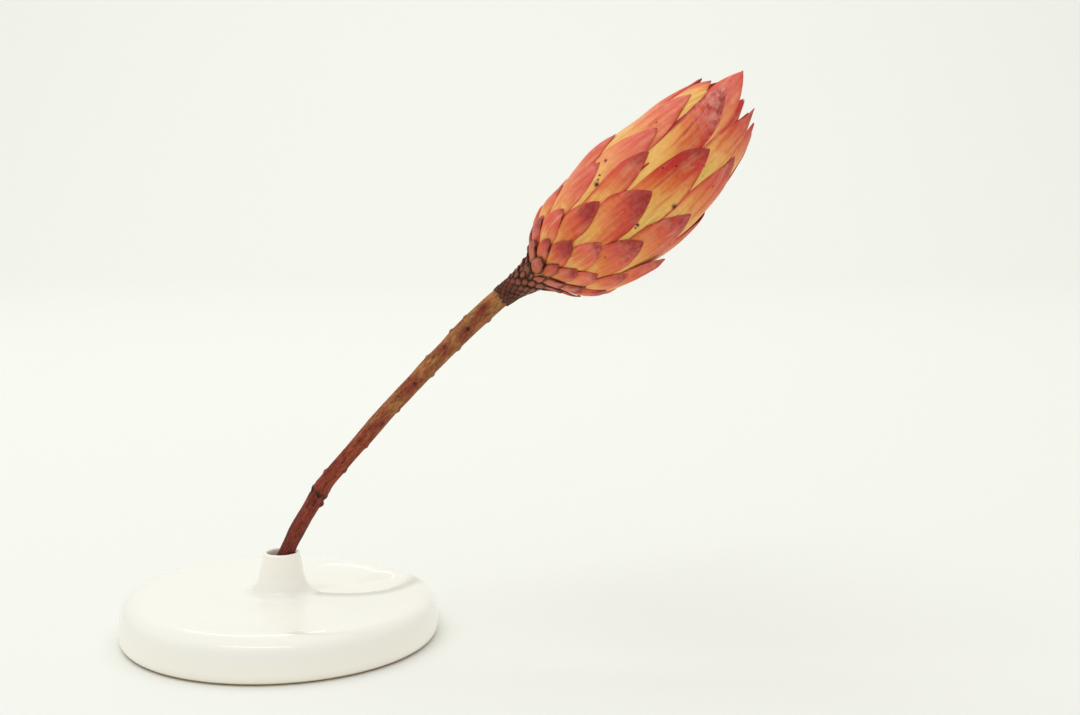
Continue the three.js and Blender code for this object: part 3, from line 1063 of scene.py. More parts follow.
    def build(self) -> Piece:
        """Throws the vase: its half section is drawn out point by point and spun round.

        Returns:
            The vase.
        """
        Bench.clear()
        bpy.ops.mesh.primitive_plane_add(size=1 * MM, location=(0, 0, 0))
        vase = Bench.named("glazed_vase")
        section = self.section()
        with Bench.editing(vase):
            bpy.ops.mesh.merge(type="CENTER")
            for here, there in zip(section, section[1:]):
                step = ((there[0] - here[0]) * MM, 0.0, (there[1] - here[1]) * MM)
                bpy.ops.mesh.extrude_region_move(TRANSFORM_OT_translate={"value": step})
            bpy.ops.mesh.select_all(action="SELECT")
            bpy.ops.mesh.spin(steps=self.segments, angle=2 * math.pi, center=(0, 0, 0), axis=(0, 0, 1))
        Bench.close_up(vase)
        Bench.shape(vase, self._settled)
        plan = [(point.co.x / MM, point.co.y / MM) for point in vase.data.vertices]
        # Painted shade along the hollow's crest, and where the glaze pools in the hollow.
        Bench.record(vase, "painted_crest_shade", [self._painted_crest_shade(x, y) for x, y in plan])
        Bench.record(vase, "pooled_glaze", [smoothstep(self._scooped(x, y), *self.pooling) for x, y in plan])
        Bench.smooth(vase, 50.0)
        return vase

    def dress(self, vase: Piece, glaze: Material) -> None:
        """Glazes the vase and puts it in its CAD node's place."""
        vase.data.materials.append(glaze)
        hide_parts("vase")
        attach(vase, "root")


# ---- Head shape ----


@dataclass
class HeadShape:
    """The outline that every bract follows, in the head's own frame, and where the head stands."""

    origin: Triple = (87.3, 0.0, 130.0)
    rise_degrees: float = 39.3
    layer_step: float = 0.16
    raised: float = 0.3
    radius: Graduation = Graduation(
        ((-10, 3.6), (-5, 3.8), (0, 4.9), (3, 5.9), (5.5, 8), (8.5, 11.9), (12, 15.3), (16, 18), (21, 20.1),
         (28, 21.2), (38, 22.2), (50, 22.9), (58, 22.2), (66, 20.8), (76, 19.5), (84, 17.5), (90, 15.6), (96, 12),
         (101, 8.4), (106, 5.6))
    )
    shift: Graduation = Graduation(
        ((-10, 1.3), (-5, 1.6), (0, 2.1), (3, 2.7), (5.5, 3.5), (8.5, 4.3), (12, 4.6), (16, 4.8), (21, 5.0),
         (28, 4.9), (38, 4.4), (50, 3.7), (58, 3.6), (66, 3.3), (76, 2.6), (84, 1.8), (90, 1.2), (96, 0.6),
         (101, -0.2), (106, -1.2))
    )
    tips: Graduation = Graduation(
        ((-34, -4), (-13, 6.4), (-5, 10.1), (0, 13), (5, 16.3), (13, 21.9), (18, 26.4), (24, 33.5), (29, 42.6),
         (34, 53.5), (39, 66.5), (42, 77.5), (45, 86.5), (48, 95), (51, 99.5), (55, 104))
    )
    receptacle: Graduation = Graduation(((7.6, 5.4), (12, 5.6), (16, 5.3), (19, 3.4), (20.2, 0.8)))
    golden_degrees: float = 137.508
    first_degrees: float = -1.5

    def __post_init__(self) -> None:
        """Prepares the run from a height to the number of the bract that ends there."""
        self.number_at = Graduation(tuple((tip, number) for number, tip in self.tips.marks))
        self.lean = math.pi / 2 - math.radians(self.rise_degrees)
        self.stand = Matrix.Translation(Vector(self.origin)) @ Matrix.Rotation(self.lean, 4, "Y")

    def angle(self, number: float) -> float:
        """The angle round the head of a bract's middle, from the side that faces -Y."""
        return math.radians(self.first_degrees + number * self.golden_degrees)

    @staticmethod
    def across(angle: float) -> Vector:
        """The direction round the head at an angle."""
        return Vector((math.cos(angle), math.sin(angle), 0.0))

    @staticmethod
    def outward(angle: float) -> Vector:
        """The direction out of the head at an angle."""
        return Vector((math.sin(angle), -math.cos(angle), 0.0))

    def middle(self, height: float) -> Vector:
        """The middle of the stem or the head at a height, in the frame of the whole object."""
        return self.stand @ Vector((self.shift.at(height), 0.0, height))

    def beside_axis(self, height: float, radius: float, angle: float) -> Vector:
        """A point of the head's frame beside its centre line."""
        return Vector((self.shift.at(height) + radius * math.sin(angle), -radius * math.cos(angle), height))

    def under_outline(self, height: float, depth: float, angle: float) -> Vector:
        """A point below the head's outline.

        Args:
            height: Height on the outline.
            depth: How deep the point lies below it, square to it.
            angle: Angle round the head.

        Returns:
            The point in the head's frame.
        """
        slope = self.radius.at(height + 0.5) - self.radius.at(height - 0.5)
        square = math.hypot(1.0, slope)
        lifted = height + depth * slope / square
        radius = max(0.4, self.radius.at(height) - depth / square)
        return self.beside_axis(lifted, radius, angle)

    def depth(self, number: float, height: float) -> float:
        """How deep a bract's outer face lies at a height, so that later bracts tuck under."""
        return self.layer_step * (number - self.number_at.at(height)) - self.raised

    def placed(self, point: Vector) -> Vector:
        """A point of the head's frame in the frame of the whole object, in metres."""
        return (self.stand @ point) * MM


# ---- Stem ----


@dataclass(frozen=True)
class LeafScar:
    """A small raised scar where a leaf once grew."""

    height: float
    degrees: float
    size: float
    swell: float
    red: float


@dataclass
class Stem:
    """The woody stem, from its cut end in the vase to the collar that carries the head."""

    head: HeadShape
    stations: tuple[Triple, ...] = (
        (-4.7, 4.8, 2.8), (-3.9, 10, 2.8), (-1.9, 18, 2.8), (-0.1, 24.5, 2.8), (2.75, 30.6, 2.75), (6.8, 38.9, 2.85),
        (11.4, 46.6, 2.8), (15.1, 52.6, 3.1), (18.6, 57.6, 2.85), (25.2, 65.3, 2.85), (36.6, 78.4, 2.95),
        (48.6, 91.4, 3.0), (61.2, 104.4, 3.25), (71.6, 114.9, 3.5),
    )
    neck: tuple[Pair, ...] = (
        (-10.5, 3.5), (-8, 3.15), (-4, 3.3), (0, 4.2), (3, 5.0), (5.5, 6.2), (7.9, 7.9), (8.5, 8.0), (7.7, 7.3),
        (6.8, 6.1),
    )
    joint_height: float = 52.6
    joint_swell: float = 0.38
    bud_degrees: float = 88.0
    bud_drop: float = 3.0
    bud_swell: float = 0.85
    furrows: Pair = (0.22, 0.07)
    sides: int = 36
    scars: tuple[LeafScar, ...] = tuple(
        LeafScar(*mark)
        for mark in (
            (38.0, 40, 1.2, 0.15, 0.3), (45.0, 200, 1.2, 0.3, 0.3), (58.5, -90, 1.2, 0.5, 0.3),
            (62.0, 78, 1.2, 0.5, 0.4), (66.0, -60, 1.2, 0.3, 0.6), (71.0, 100, 1.2, 0.45, 0.6),
            (73.0, -5, 1.3, 0.2, 1.0), (79.0, 30, 1.5, 0.3, 1.0), (84.0, 95, 1.3, 0.5, 0.5),
            (87.0, -15, 1.2, 0.25, 0.5), (92.5, 5, 1.9, 0.35, 1.0), (97.0, 92, 1.3, 0.55, 0.4),
            (99.5, -85, 1.2, 0.4, 0.4), (104.5, -20, 1.9, 0.3, 1.0), (106.5, 95, 1.4, 0.5, 0.5),
            (108.5, -92, 1.2, 0.6, 0.5), (112.0, 5, 2.1, 0.45, 1.0), (113.5, -80, 1.3, 0.5, 0.6),
            (117.0, 80, 1.5, 0.5, 0.5), (118.5, -20, 1.7, 0.25, 1.0), (82.0, 190, 1.5, 0.4, 0.8),
            (96.0, 170, 1.6, 0.4, 0.8), (110.0, 185, 1.7, 0.4, 0.9), (69.0, 165, 1.3, 0.3, 0.6),
        )
    )

    def _full_route(self) -> list[tuple[Vector, float, float]]:
        """The stem's stations: centre, lean from the vertical, and radius."""
        last = len(self.stations) - 1
        route = []
        for row, (x, z, radius) in enumerate(self.stations):
            before, after = self.stations[max(0, row - 1)], self.stations[min(last, row + 1)]
            lean = math.atan2(after[0] - before[0], after[1] - before[1])
            route.append((Vector((x, 0.0, z)), lean, radius))
        for height, radius in (*self.neck, *self.head.receptacle.marks):
            route.append((self.head.middle(height), self.head.lean, radius))
        return route

    @staticmethod
    def _along(values: Sequence[Any], share: float, tension: float) -> Any:
        """Reads a smooth run through evenly numbered values.

        Args:
            values: What the run goes through.
            share: How far along it to read, from 0 to 1.
            tension: How strongly each value's neighbours turn the run there.

        Returns:
            The value at that share.
        """
        spot = share * (len(values) - 1)
        row = min(int(spot), len(values) - 2)
        t = spot - row
        here, there = values[row], values[row + 1]
        before = values[row - 1] if row > 0 else here * 2 - there
        after = values[row + 2] if row < len(values) - 2 else there * 2 - here
        start, end = (there - before) * tension, (after - here) * tension
        return (
            here
            + start * t
            + (there * 3 - here * 3 - start * 2 - end) * t**2
            + (here * 2 - there * 2 + start + end) * t**3
        )

    def rings(self) -> list[tuple[Vector, float, float]]:
        """The rings that the stem is drawn through, close enough for its scars.

        Returns:
            The centre, lean and radius of each ring.
        """
        route = self._full_route()
        rows = len(route) - 1
        spots = []
        for row in range(rows):
            gap = (route[row + 1][0] - route[row][0]).length
            steps = max(2, round(gap / 0.8)) if row < len(self.stations) else 3
            spots.extend(row + step / steps for step in range(steps))
        spots.append(float(rows))
        centres = [centre for centre, _, _ in route]
        sections = [Vector((radius, lean)) for _, lean, radius in route]
        rings = []
        for spot in spots:
            centre = self._along(centres, spot / rows, 0.5)
            radius, lean = self._along(sections, spot / rows, 0.3)
            rings.append((centre, lean, radius))
        return rings

    def build(self) -> Piece:
        """Draws the stem out ring by ring and carves its bark.

        Returns:
            The stem.
        """
        rings = self.rings()
        centre, lean, radius = rings[0]
        middle, size = centre * MM, radius * MM
        Bench.clear()
        bpy.ops.mesh.primitive_circle_add(
            vertices=self.sides, radius=size, fill_type="TRIFAN", location=middle, rotation=(0.0, lean, 0.0)
        )
        stem = Bench.named("woody_stem")
        bpy.ops.object.transform_apply(location=True, rotation=True, scale=True)
        with Bench.editing(stem):
            Bench.select_points(stem, lambda place: (place - middle).length > size / 2)
            for (centre, lean, radius), (next_centre, next_lean, next_radius) in zip(rings, rings[1:]):
                move, pivot = (next_centre - centre) * MM, next_centre * MM
                Bench.draw_out(move)
                if abs(next_lean - lean) > 1e-7:
                    bpy.ops.transform.rotate(value=lean - next_lean, orient_axis="Y", center_override=pivot)
                share = next_radius / radius
                bpy.ops.transform.resize(value=(share, share, share), center_override=pivot)
            bpy.ops.mesh.merge(type="CENTER")
        Bench.close_up(stem)
        self._carve(stem, rings)
        Bench.smooth(stem, 60.0)
        return stem

    def _carve(self, stem: Piece, rings: list[tuple[Vector, float, float]]) -> None:
        """Moves the bark's points for its joint, scars and furrows, and records where they are.

        Args:
            stem: The drawn stem.
            rings: The rings that it was drawn through.
        """
        distances = [0.0]
        for here, there in zip(rings, rings[1:]):
            distances.append(distances[-1] + (there[0] - here[0]).length)
        collar = self.head.middle(self.neck[0][0])
        last = min(range(len(rings)), key=lambda row: (rings[row][0] - collar).length)
        broad, fine = self.furrows
        route, marks = [], []
        for point in stem.data.vertices:
            place = point.co / MM
            row = min(range(last + 1), key=lambda k: (rings[k][0] - place).length_squared)
            centre, lean, radius = rings[row]
            side = Vector((math.cos(lean), 0.0, -math.sin(lean)))
            up = Vector((math.sin(lean), 0.0, math.cos(lean)))
            offset = place - centre
            beside, toward = offset.dot(side), -offset.y
            angle = math.atan2(beside, toward)
            out = side * beside + Vector((0.0, -toward, 0.0))
            reach = out.length
            scar, blush, swell = 0.0, 0.0, 0.0
            if row < last - 1 and reach > 0.5 * radius:
                level = centre.z + offset.dot(up) * math.cos(lean)
                scar, blush, swell = self._scarred(angle, level, radius, lean)
                ring_scar, ring_swell = self._jointed(angle, level, radius)
                scar = max(scar, ring_scar)
                lane = Vector((1.6 * math.sin(angle), 1.6 * math.cos(angle), distances[row] / 9))
                swell += ring_swell + broad * noise.noise(lane) + fine * noise.noise(lane * 2.7)
                point.co = (place + out.normalized() * swell) * MM
            route.append((radius * math.sin(angle), radius * math.cos(angle), distances[row]))
            marks.append((scar, blush, 1.0 if row == 0 and reach < radius * 0.8 else 0.0))
        Bench.record(stem, "bark_route", route)
        Bench.record(stem, "bark_marks", marks)

    def _scarred(self, angle: float, level: float, radius: float, lean: float) -> Triple:
        """What the leaf scars do to one spot of the bark.

        Args:
            angle: Where the spot is round the stem.
            level: Its height.
            radius: The stem's radius there.
            lean: The stem's lean there.

        Returns:
            How dark and how red it is, and how far it swells.
        """
        scar, blush, swell = 0.0, 0.0, 0.0
        for mark in self.scars:
            across = math.radians(turn_between(math.degrees(angle), mark.degrees)) * radius
            along = (level - mark.height) / math.cos(lean)
            swell += mark.swell * bump(math.hypot(across / 1.3, along), 0.0, mark.size * 1.1)
            scar = max(scar, bump(math.hypot(across, along - 0.25), 0.0, mark.size * 0.75))
            blush = max(blush, mark.red * bump(math.hypot(across, along * 0.55 + 0.6), 0.0, mark.size * 1.9))
        return scar, blush, swell

    def _jointed(self, angle: float, level: float, radius: float) -> Pair:
        """What the joint, and the bud below it, do to one spot of the bark.

        Args:
            angle: Where the spot is round the stem.
            level: Its height.
            radius: The stem's radius there.

        Returns:
            How dark it is and how far it swells.
        """
        uneven = noise.noise(Vector((math.sin(angle) * 1.7, math.cos(angle) * 1.7, 3.0)))
        above = level - self.joint_height
        ring = above + 0.35 * math.cos(angle - math.radians(40)) + 1.1 * uneven
        swell = self.joint_swell * bump(ring, 0.0, 1.0) - 0.2 * bump(ring, -1.5, 0.7) + 0.16 * bump(ring, 1.9, 0.9)
        beside = math.radians(turn_between(math.degrees(angle), self.bud_degrees)) * radius
        bud = math.hypot(beside / 1.1, above + self.bud_drop)
        scar = max(
            (0.85 + uneven) * bump(ring, 0.0, 1.7),
            0.5 * bump(ring, 1.9, 0.8),
            (0.35 + 1.2 * uneven) * bump(ring, -2.4, 2.6),
            0.5 * bump(bud, 0.0, 1.3),
        )
        return scar, swell + self.bud_swell * bump(bud, 0.0, 1.6)

    def dress(self, stem: Piece, bark: Material) -> None:
        """Gives the stem its bark and puts it in its CAD node's place."""
        stem.data.materials.append(bark)
        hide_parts("stem")
        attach(stem, "root")


# ---- Neck scales ----


@dataclass
class NeckScales:
    """The many small scales that cover the neck below the bracts."""

    head: HeadShape
    first: int = -14
    last: int = -118
    half_width: float = 0.6
    half_length: float = 0.76
    relief: float = 0.5
    rows: tuple[Triple, ...] = ((0.5, 0.82, 0.05), (1.0, 0.12, 0.16), (-0.5, 0.92, -0.05), (-1.0, 0.55, -0.22))
    tips: Graduation = Graduation(
        ((-118, -8.8), (-92, -6.6), (-62, -3.4), (-42, -0.2), (-27, 3.0), (-13, 6.8), (0, 13))
    )

    def _pattern(self) -> Piece:
        """Models one scale: a grid two units across, pointed, keeled and given a thin wall.

        Returns:
            The scale that the others are copied from.
        """
        Bench.clear()
        bpy.ops.mesh.primitive_grid_add(x_subdivisions=4, y_subdivisions=4, size=2.0, location=(0, 0, 0))
        scale = Bench.named("scale_pattern")
        with Bench.editing(scale):
            for level, width, lift in self.rows:
                Bench.select_points(scale, lambda place, level=level: abs(place.y - level) < 0.01)
                bpy.ops.transform.resize(value=(width, 1.0, 1.0), center_override=(0.0, level, 0.0))
                bpy.ops.transform.translate(value=(0.0, 0.0, lift))
            Bench.lift_points(scale, 0.16, lambda place: abs(place.x) < 0.01)
            Bench.lift_points(scale, 0.05, lambda place: abs(place.x) < 0.3 and abs(place.y) < 0.6)
        inner = [1.0 - max(abs(point.co.x), abs(point.co.y)) for point in scale.data.vertices]
        Bench.record(scale, "scale_face", [(share, 0.0, 1.0) for share in inner])
        wall = scale.modifiers.new("wall", "SOLIDIFY")
        wall.thickness, wall.offset = 0.16, -1.0
        Bench.finish_modifiers(scale)
        return scale

    def _seat(self, number: int) -> tuple[Matrix, float]:
        """Works out where one scale sits.

        Args:
            number: The scale's number up the spiral.

        Returns:
            Its place, turned and sized, and its height on the neck.
        """
        head = self.head
        height = self.tips.at(number)
        step = abs(self.tips.at(number + 1) - self.tips.at(number - 1)) / 2
        size = math.sqrt(2 * math.pi * head.radius.at(height) * step)
        odd = chance(number, 91.17)
        angle = head.angle(number) + (odd - 0.5) * 0.22 * size / head.radius.at(height)
        size *= 0.84 + 0.4 * odd
        middle = height - size * (0.5 + 0.12 * odd)
        rise = math.atan2(head.radius.at(middle + 0.4) - head.radius.at(middle - 0.4), 0.8)
        sunk = lerp(-0.25, 0.45, smoothstep(middle, -4.0, 4.0))
        spot = head.beside_axis(middle, head.radius.at(middle) - sunk, angle)
        across = head.across(angle)
        up = Vector((0.0, 0.0, 1.0)) * math.cos(rise) + head.outward(angle) * math.sin(rise)
        turn = Matrix((across, up, across.cross(up))).transposed().to_4x4()
        sizes = Matrix.Diagonal((size * self.half_width, size * self.half_length, size * self.relief, 1.0))
        return head.stand @ (Matrix.Translation(spot) @ turn @ sizes), height

    def build(self) -> Piece:
        """Copies the pattern scale over the whole neck.

        Returns:
            All the scales, as one piece.
        """
        pattern = self._pattern()
        scales = []
        for number in range(self.first, self.last, -1):
            seat, height = self._seat(number)
            scale = Bench.copy(pattern, f"scale_{-number}")
            Bench.shape(scale, lambda place, seat=seat: (seat @ place) * MM)
            seed = chance(number)
            pale = min(1.0, smoothstep(height, -5.0, 2.5) * (0.4 + 0.7 * seed) + 0.12 + 0.2 * seed)
            for entry in scale.data.attributes["scale_face"].data:
                entry.vector = (entry.vector[0], seed, pale)
            scales.append(scale)
        Bench.discard(pattern)
        neck = Bench.join(scales, "neck_scales")
        Bench.smooth(neck, 45.0)
        return neck

    def dress(self, neck: Piece, finish: Material) -> None:
        """Gives the scales their finish; they ride with the stem."""
        neck.data.materials.clear()
        neck.data.materials.append(finish)
        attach(neck, "root")


# ---- Bracts ----


class Side(IntEnum):
    """The two margins of a blade, as the viewer in front of it sees them."""

    LEFT = -1
    RIGHT = 1


@dataclass(frozen=True)
class Tear:
    """A notch torn out of a blade's margin."""

    side: Side
    below: float
    length: float
    share: float


@dataclass(frozen=True)
class Habit:
    """How one bract departs from the even spiral, in millimetres, degrees and shares."""

    lift: float = 0.0
    turn: float = 0.0
    sweep: float = 0.0
    flare: float = 0.0
    keel: float = 0.0
    ragged: float = 0.0
    width: float = 1.0
    fullness: float = 0.0
    taper: float | None = None
    hug: float = 1.0
    tears: tuple[Tear, ...] = ()


@dataclass(frozen=True)
class Blush:
    """The run of one bract's colours.

    Lengths are millimetres down from the tip; the rest are shares from 0 to 1, except lean,
    which is negative where the red runs further down the left margin.
    """

    dark: float
    reach: float
    purple: float = 0.0
    frost: float = 0.2
    lean: float = 0.0
    green: float = 0.1
    rim: float = 0.6
    brown: float = 0.0
    rich: float = 0.5
    # Strength of the crimson margin strip and of the painted fold shade beside the middle.
    ridge_and_fold_shade: float = 0.0


@dataclass
class Blade:
    """One blade laid on the head: the shape of a bract or of a lobe beside it."""

    head: HeadShape
    number: float
    angle: float
    tip: float
    base: float
    half_angle: float
    taper: float
    habit: Habit
    raised: float = 0.0
    thickness: float = 0.42
    sweep_length: float = 22.0
    full_height: float = 84.0
    waist: float = 0.8
    crown_heights: Pair = (0.2, 0.6)
    margin_thinning: float = 0.65
    waviness: float = 0.05

    def __post_init__(self) -> None:
        """Starts with nothing below the blade."""
        self.below: list["Blade"] = []

    def _margin(self, side: Side, below: float) -> float:
        """The share of its half width that the blade keeps on one side, waves and tears counted."""
        wave = noise.noise(Vector((self.number * 3.7, side * 5.1, below / 3.2)))
        share = 1.0 + self.waviness * wave
        for tear in self.habit.tears:
            if tear.side == side:
                share -= tear.share * bump(below, tear.below, tear.length)
        return share

    def _bending(self, height: float) -> float:
        """How much of its sweep and flare the blade has at a height, 1 at the tip."""
        return max(0.0, 1 - (self.tip - height) / self.sweep_length) ** 2

    def centre(self, height: float) -> float:
        """The angle of the blade's middle at a height."""
        return self.angle + math.radians(self.habit.sweep) * self._bending(height)

    def spread(self, height: float) -> float:
        """Half the angle that the blade spans at a height, waves and tears left out."""
        narrowing = min(1.0, max(0.0, self.tip - height + 0.02) / self.taper)
        waist = lerp(self.waist, 1.0, smoothstep((height - self.base) / (self.tip - self.base), 0.0, 0.35))
        full = 1.0
        if height > self.full_height:
            shrunk = self.head.radius.at(self.full_height) / self.head.radius.at(height)
            full = lerp(1.0, shrunk, self.habit.fullness)
        return self.half_angle * full * math.sin(narrowing * math.pi / 2) ** 0.8 * waist

    def crown(self, share: float) -> float:
        """How far the blade's outer face bulges at a share of its half width, less on small ones."""
        return lerp(*self.crown_heights, smoothstep(self.number, -4.0, 16.0)) * (1 - share * share)

    def wall(self, x: float, below: float) -> float:
        """The blade's thickness: thin at its margins and its tip."""
        return self.thickness * (1 - self.margin_thinning * abs(x) ** 3) * lerp(0.5, 1.0, smoothstep(below, 0.0, 5.0))

    def _lying_below(self, height: float, angle: float) -> Pair:
        """Looks for the blades that this one covers at a spot.

        Args:
            height: The spot's height on the head.
            angle: Its angle round the head.

        Returns:
            The depth of their outer face, and how surely there is one.
        """
        found, sure = 0.0, 0.0
        for other in self.below:
            if other.tip < height - 0.5:
                continue
            turn = abs((angle - other.centre(height) + math.pi) % (2 * math.pi) - math.pi)
            spread = other.spread(height)
            if turn > spread + 0.04:
                continue
            cover = smoothstep(spread - turn, -0.04, 0.05) * smoothstep(other.tip - height, -0.5, 2.0)
            share = min(1.0, turn / max(spread, 0.01))
            depth = self.head.depth(other.number, height) - other.raised - other.crown(share)
            found = depth if sure <= 0 else lerp(found, depth, cover)
            sure = max(sure, cover)
        return found, sure

    def lay(self, point: Vector) -> tuple[Vector, Triple]:
        """Lays one point of the flat pattern on the head.

        Args:
            point: The pattern's point: -1 to 1 across, 0 to 1 from base to tip, relief above.

        Returns:
            The point in the head's frame, and its place on the blade: millimetres from the
            middle, from the tip and from the nearer margin.
        """
        x, share, relief = point
        habit = self.habit
        ragged = 0.0
        if habit.ragged:
            ragged = habit.ragged * (0.5 + 0.9 * noise.noise(Vector((x * 4.1, self.number, 0.0))))
        height = lerp(self.base, self.tip - ragged, 1 - (1 - share) ** 1.2)
        below = self.tip - height
        reach = self.spread(height) * self._margin(Side.LEFT if x < 0 else Side.RIGHT, below)
        turned = self.centre(height) + x * reach
        keel = habit.keel * (1 - min(1.0, abs(x - 0.15) / 0.5)) * smoothstep(below, 0.0, 4.0)
        depth = self.head.depth(self.number, height) - self.raised - self.crown(x) - relief
        covered, sure = self._lying_below(height, turned)
        if sure > 0:
            touching = covered - self.wall(x, below) * 0.75
            near_tip = max(0.0, 1 - below / (0.85 * self.taper)) ** 1.3
            pull = max(near_tip, abs(x) ** 3) * habit.hug if touching > depth else 1.0
            depth = lerp(depth, touching, sure * pull)
        depth -= keel + habit.flare * self._bending(height)
        wide = reach * self.head.radius.at(height)
        return self.head.under_outline(height, depth, turned), (x * wide, below, (1 - abs(x)) * wide)


@dataclass
class BractMaker:
    """Cuts and lays every bract of the head from one flat pattern."""

    head: HeadShape
    columns: int = 12
    rows: int = 26
    flute_depth: float = 0.05
    flute_rate: float = 11.0
    midrib: float = 0.06
    gap: float = 0.35
    covers: int = 40
    half_degrees: Graduation = Graduation(((0, 16), (20, 17.5), (30, 18), (36, 20), (42, 23.5), (50, 25), (55, 25)))
    tapers: Graduation = Graduation(((0, 8), (20, 11), (34, 16), (42, 22), (50, 20), (55, 16)))

    def __post_init__(self) -> None:
        """Cuts the flat pattern: a finely fluted grid whose middle is raised a little."""
        Bench.clear()
        bpy.ops.mesh.primitive_grid_add(
            x_subdivisions=self.columns, y_subdivisions=self.rows, size=2.0, location=(0, 0, 0)
        )
        self.pattern = Bench.named("bract_pattern")
        with Bench.editing(self.pattern):
            bpy.ops.transform.translate(value=(0.0, 1.0, 0.0))
            bpy.ops.transform.resize(value=(1.0, 0.5, 1.0), center_override=(0.0, 0.0, 0.0))
            for column in range(self.columns + 1):
                x = -1 + 2 * column / self.columns
                flute = self.flute_depth * math.sin(x * self.flute_rate)
                Bench.lift_points(self.pattern, flute, lambda place, x=x: abs(place.x - x) < 0.5 / self.columns)
            Bench.lift_points(self.pattern, self.midrib, lambda place: abs(place.x) < 0.01)

    def blade(self, number: float, habit: Habit, tip: float | None = None) -> Blade:
        """Works out one bract's blade from its number and habit.

        Args:
            number: The bract's number up the spiral.
            habit: How it departs from the spiral.
            tip: The height of its tip, where the spiral doesn't set it.

        Returns:
            The blade.
        """
        angle = self.head.angle(number) + math.radians(habit.turn)
        top = (self.head.tips.at(number) if tip is None else tip) + habit.lift
        base = top - 3.0
        while base > 0 and self._clearance(number, base, angle) > self.gap:
            base -= 0.1
        half_angle = math.radians(self.half_degrees.at(max(0.0, number))) * habit.width
        taper = self.tapers.at(max(0.0, number)) if habit.taper is None else habit.taper
        return Blade(self.head, number, angle, top, base, half_angle, taper, habit)

    def _clearance(self, number: float, height: float, angle: float) -> float:
        """The gap between a blade's inner face and the receptacle at a height."""
        depth = self.head.depth(number, height) + Blade.thickness + 0.05
        point = self.head.under_outline(height, depth, angle)
        away = math.hypot(point.x - self.head.shift.at(point.z), point.y)
        return away - self.head.receptacle.at(point.z)

    def stack(self, blades: Sequence[Blade]) -> None:
        """Tells each blade which ones lie below it, the deepest first."""
        deepest_first = sorted(blades, key=lambda blade: -blade.number)
        for blade in blades:
            last = blade.number + self.covers
            blade.below = [other for other in deepest_first if blade.number < other.number <= last]

    def cut(self, name: str, blade: Blade, blush: Blush) -> Piece:
        """Cuts one blade from the pattern, lays it on the head and gives it its wall.

        Args:
            name: The piece's name.
            blade: The blade's shape.
            blush: The run of its colours.

        Returns:
            The piece.
        """
        piece = Bench.copy(self.pattern, name)
        across = [point.co.x for point in piece.data.vertices]
        faces: list[Triple] = []

        def lay(place: Vector) -> Vector:
            """Lays a point and notes its place on the blade."""
            spot, face = blade.lay(place)
            faces.append(face)
            return self.head.placed(spot)

        Bench.shape(piece, lay)
        body = piece.vertex_groups.new(name="body")
        for number, (x, face) in enumerate(zip(across, faces, strict=True)):
            body.add([number], blade.wall(x, face[1]) / blade.thickness, "REPLACE")
        Bench.record(piece, "blade", faces)
        same_all_over = {
            "blush": (blush.dark, blush.reach, blush.purple),
            "bloom": (blush.frost, blush.lean, blush.green),
            "nature": (blush.rim, chance(blade.number, 78.233, 4.1), blush.brown),
            "richness": blush.rich,
            "ridge_and_fold_shade": blush.ridge_and_fold_shade,
        }
        for attribute, value in same_all_over.items():
            Bench.record(piece, attribute, [value] * len(faces))
        with Bench.editing(piece):
            bpy.ops.mesh.select_all(action="SELECT")
            bpy.ops.mesh.remove_doubles(threshold=0.03 * MM)
        wall = piece.modifiers.new("wall", "SOLIDIFY")
        wall.thickness, wall.offset = blade.thickness * MM, -1.0
        wall.vertex_group, wall.thickness_vertex_group = body.name, 0.2
        wall.use_even_offset = False
        wall.material_offset = 1
        rounding = piece.modifiers.new("rounding", "SUBSURF")
        rounding.levels = rounding.render_levels = 1
        piece.data.materials.append(None)
        piece.data.materials.append(None)
        Bench.finish_modifiers(piece)
        Bench.smooth(piece)
        return piece


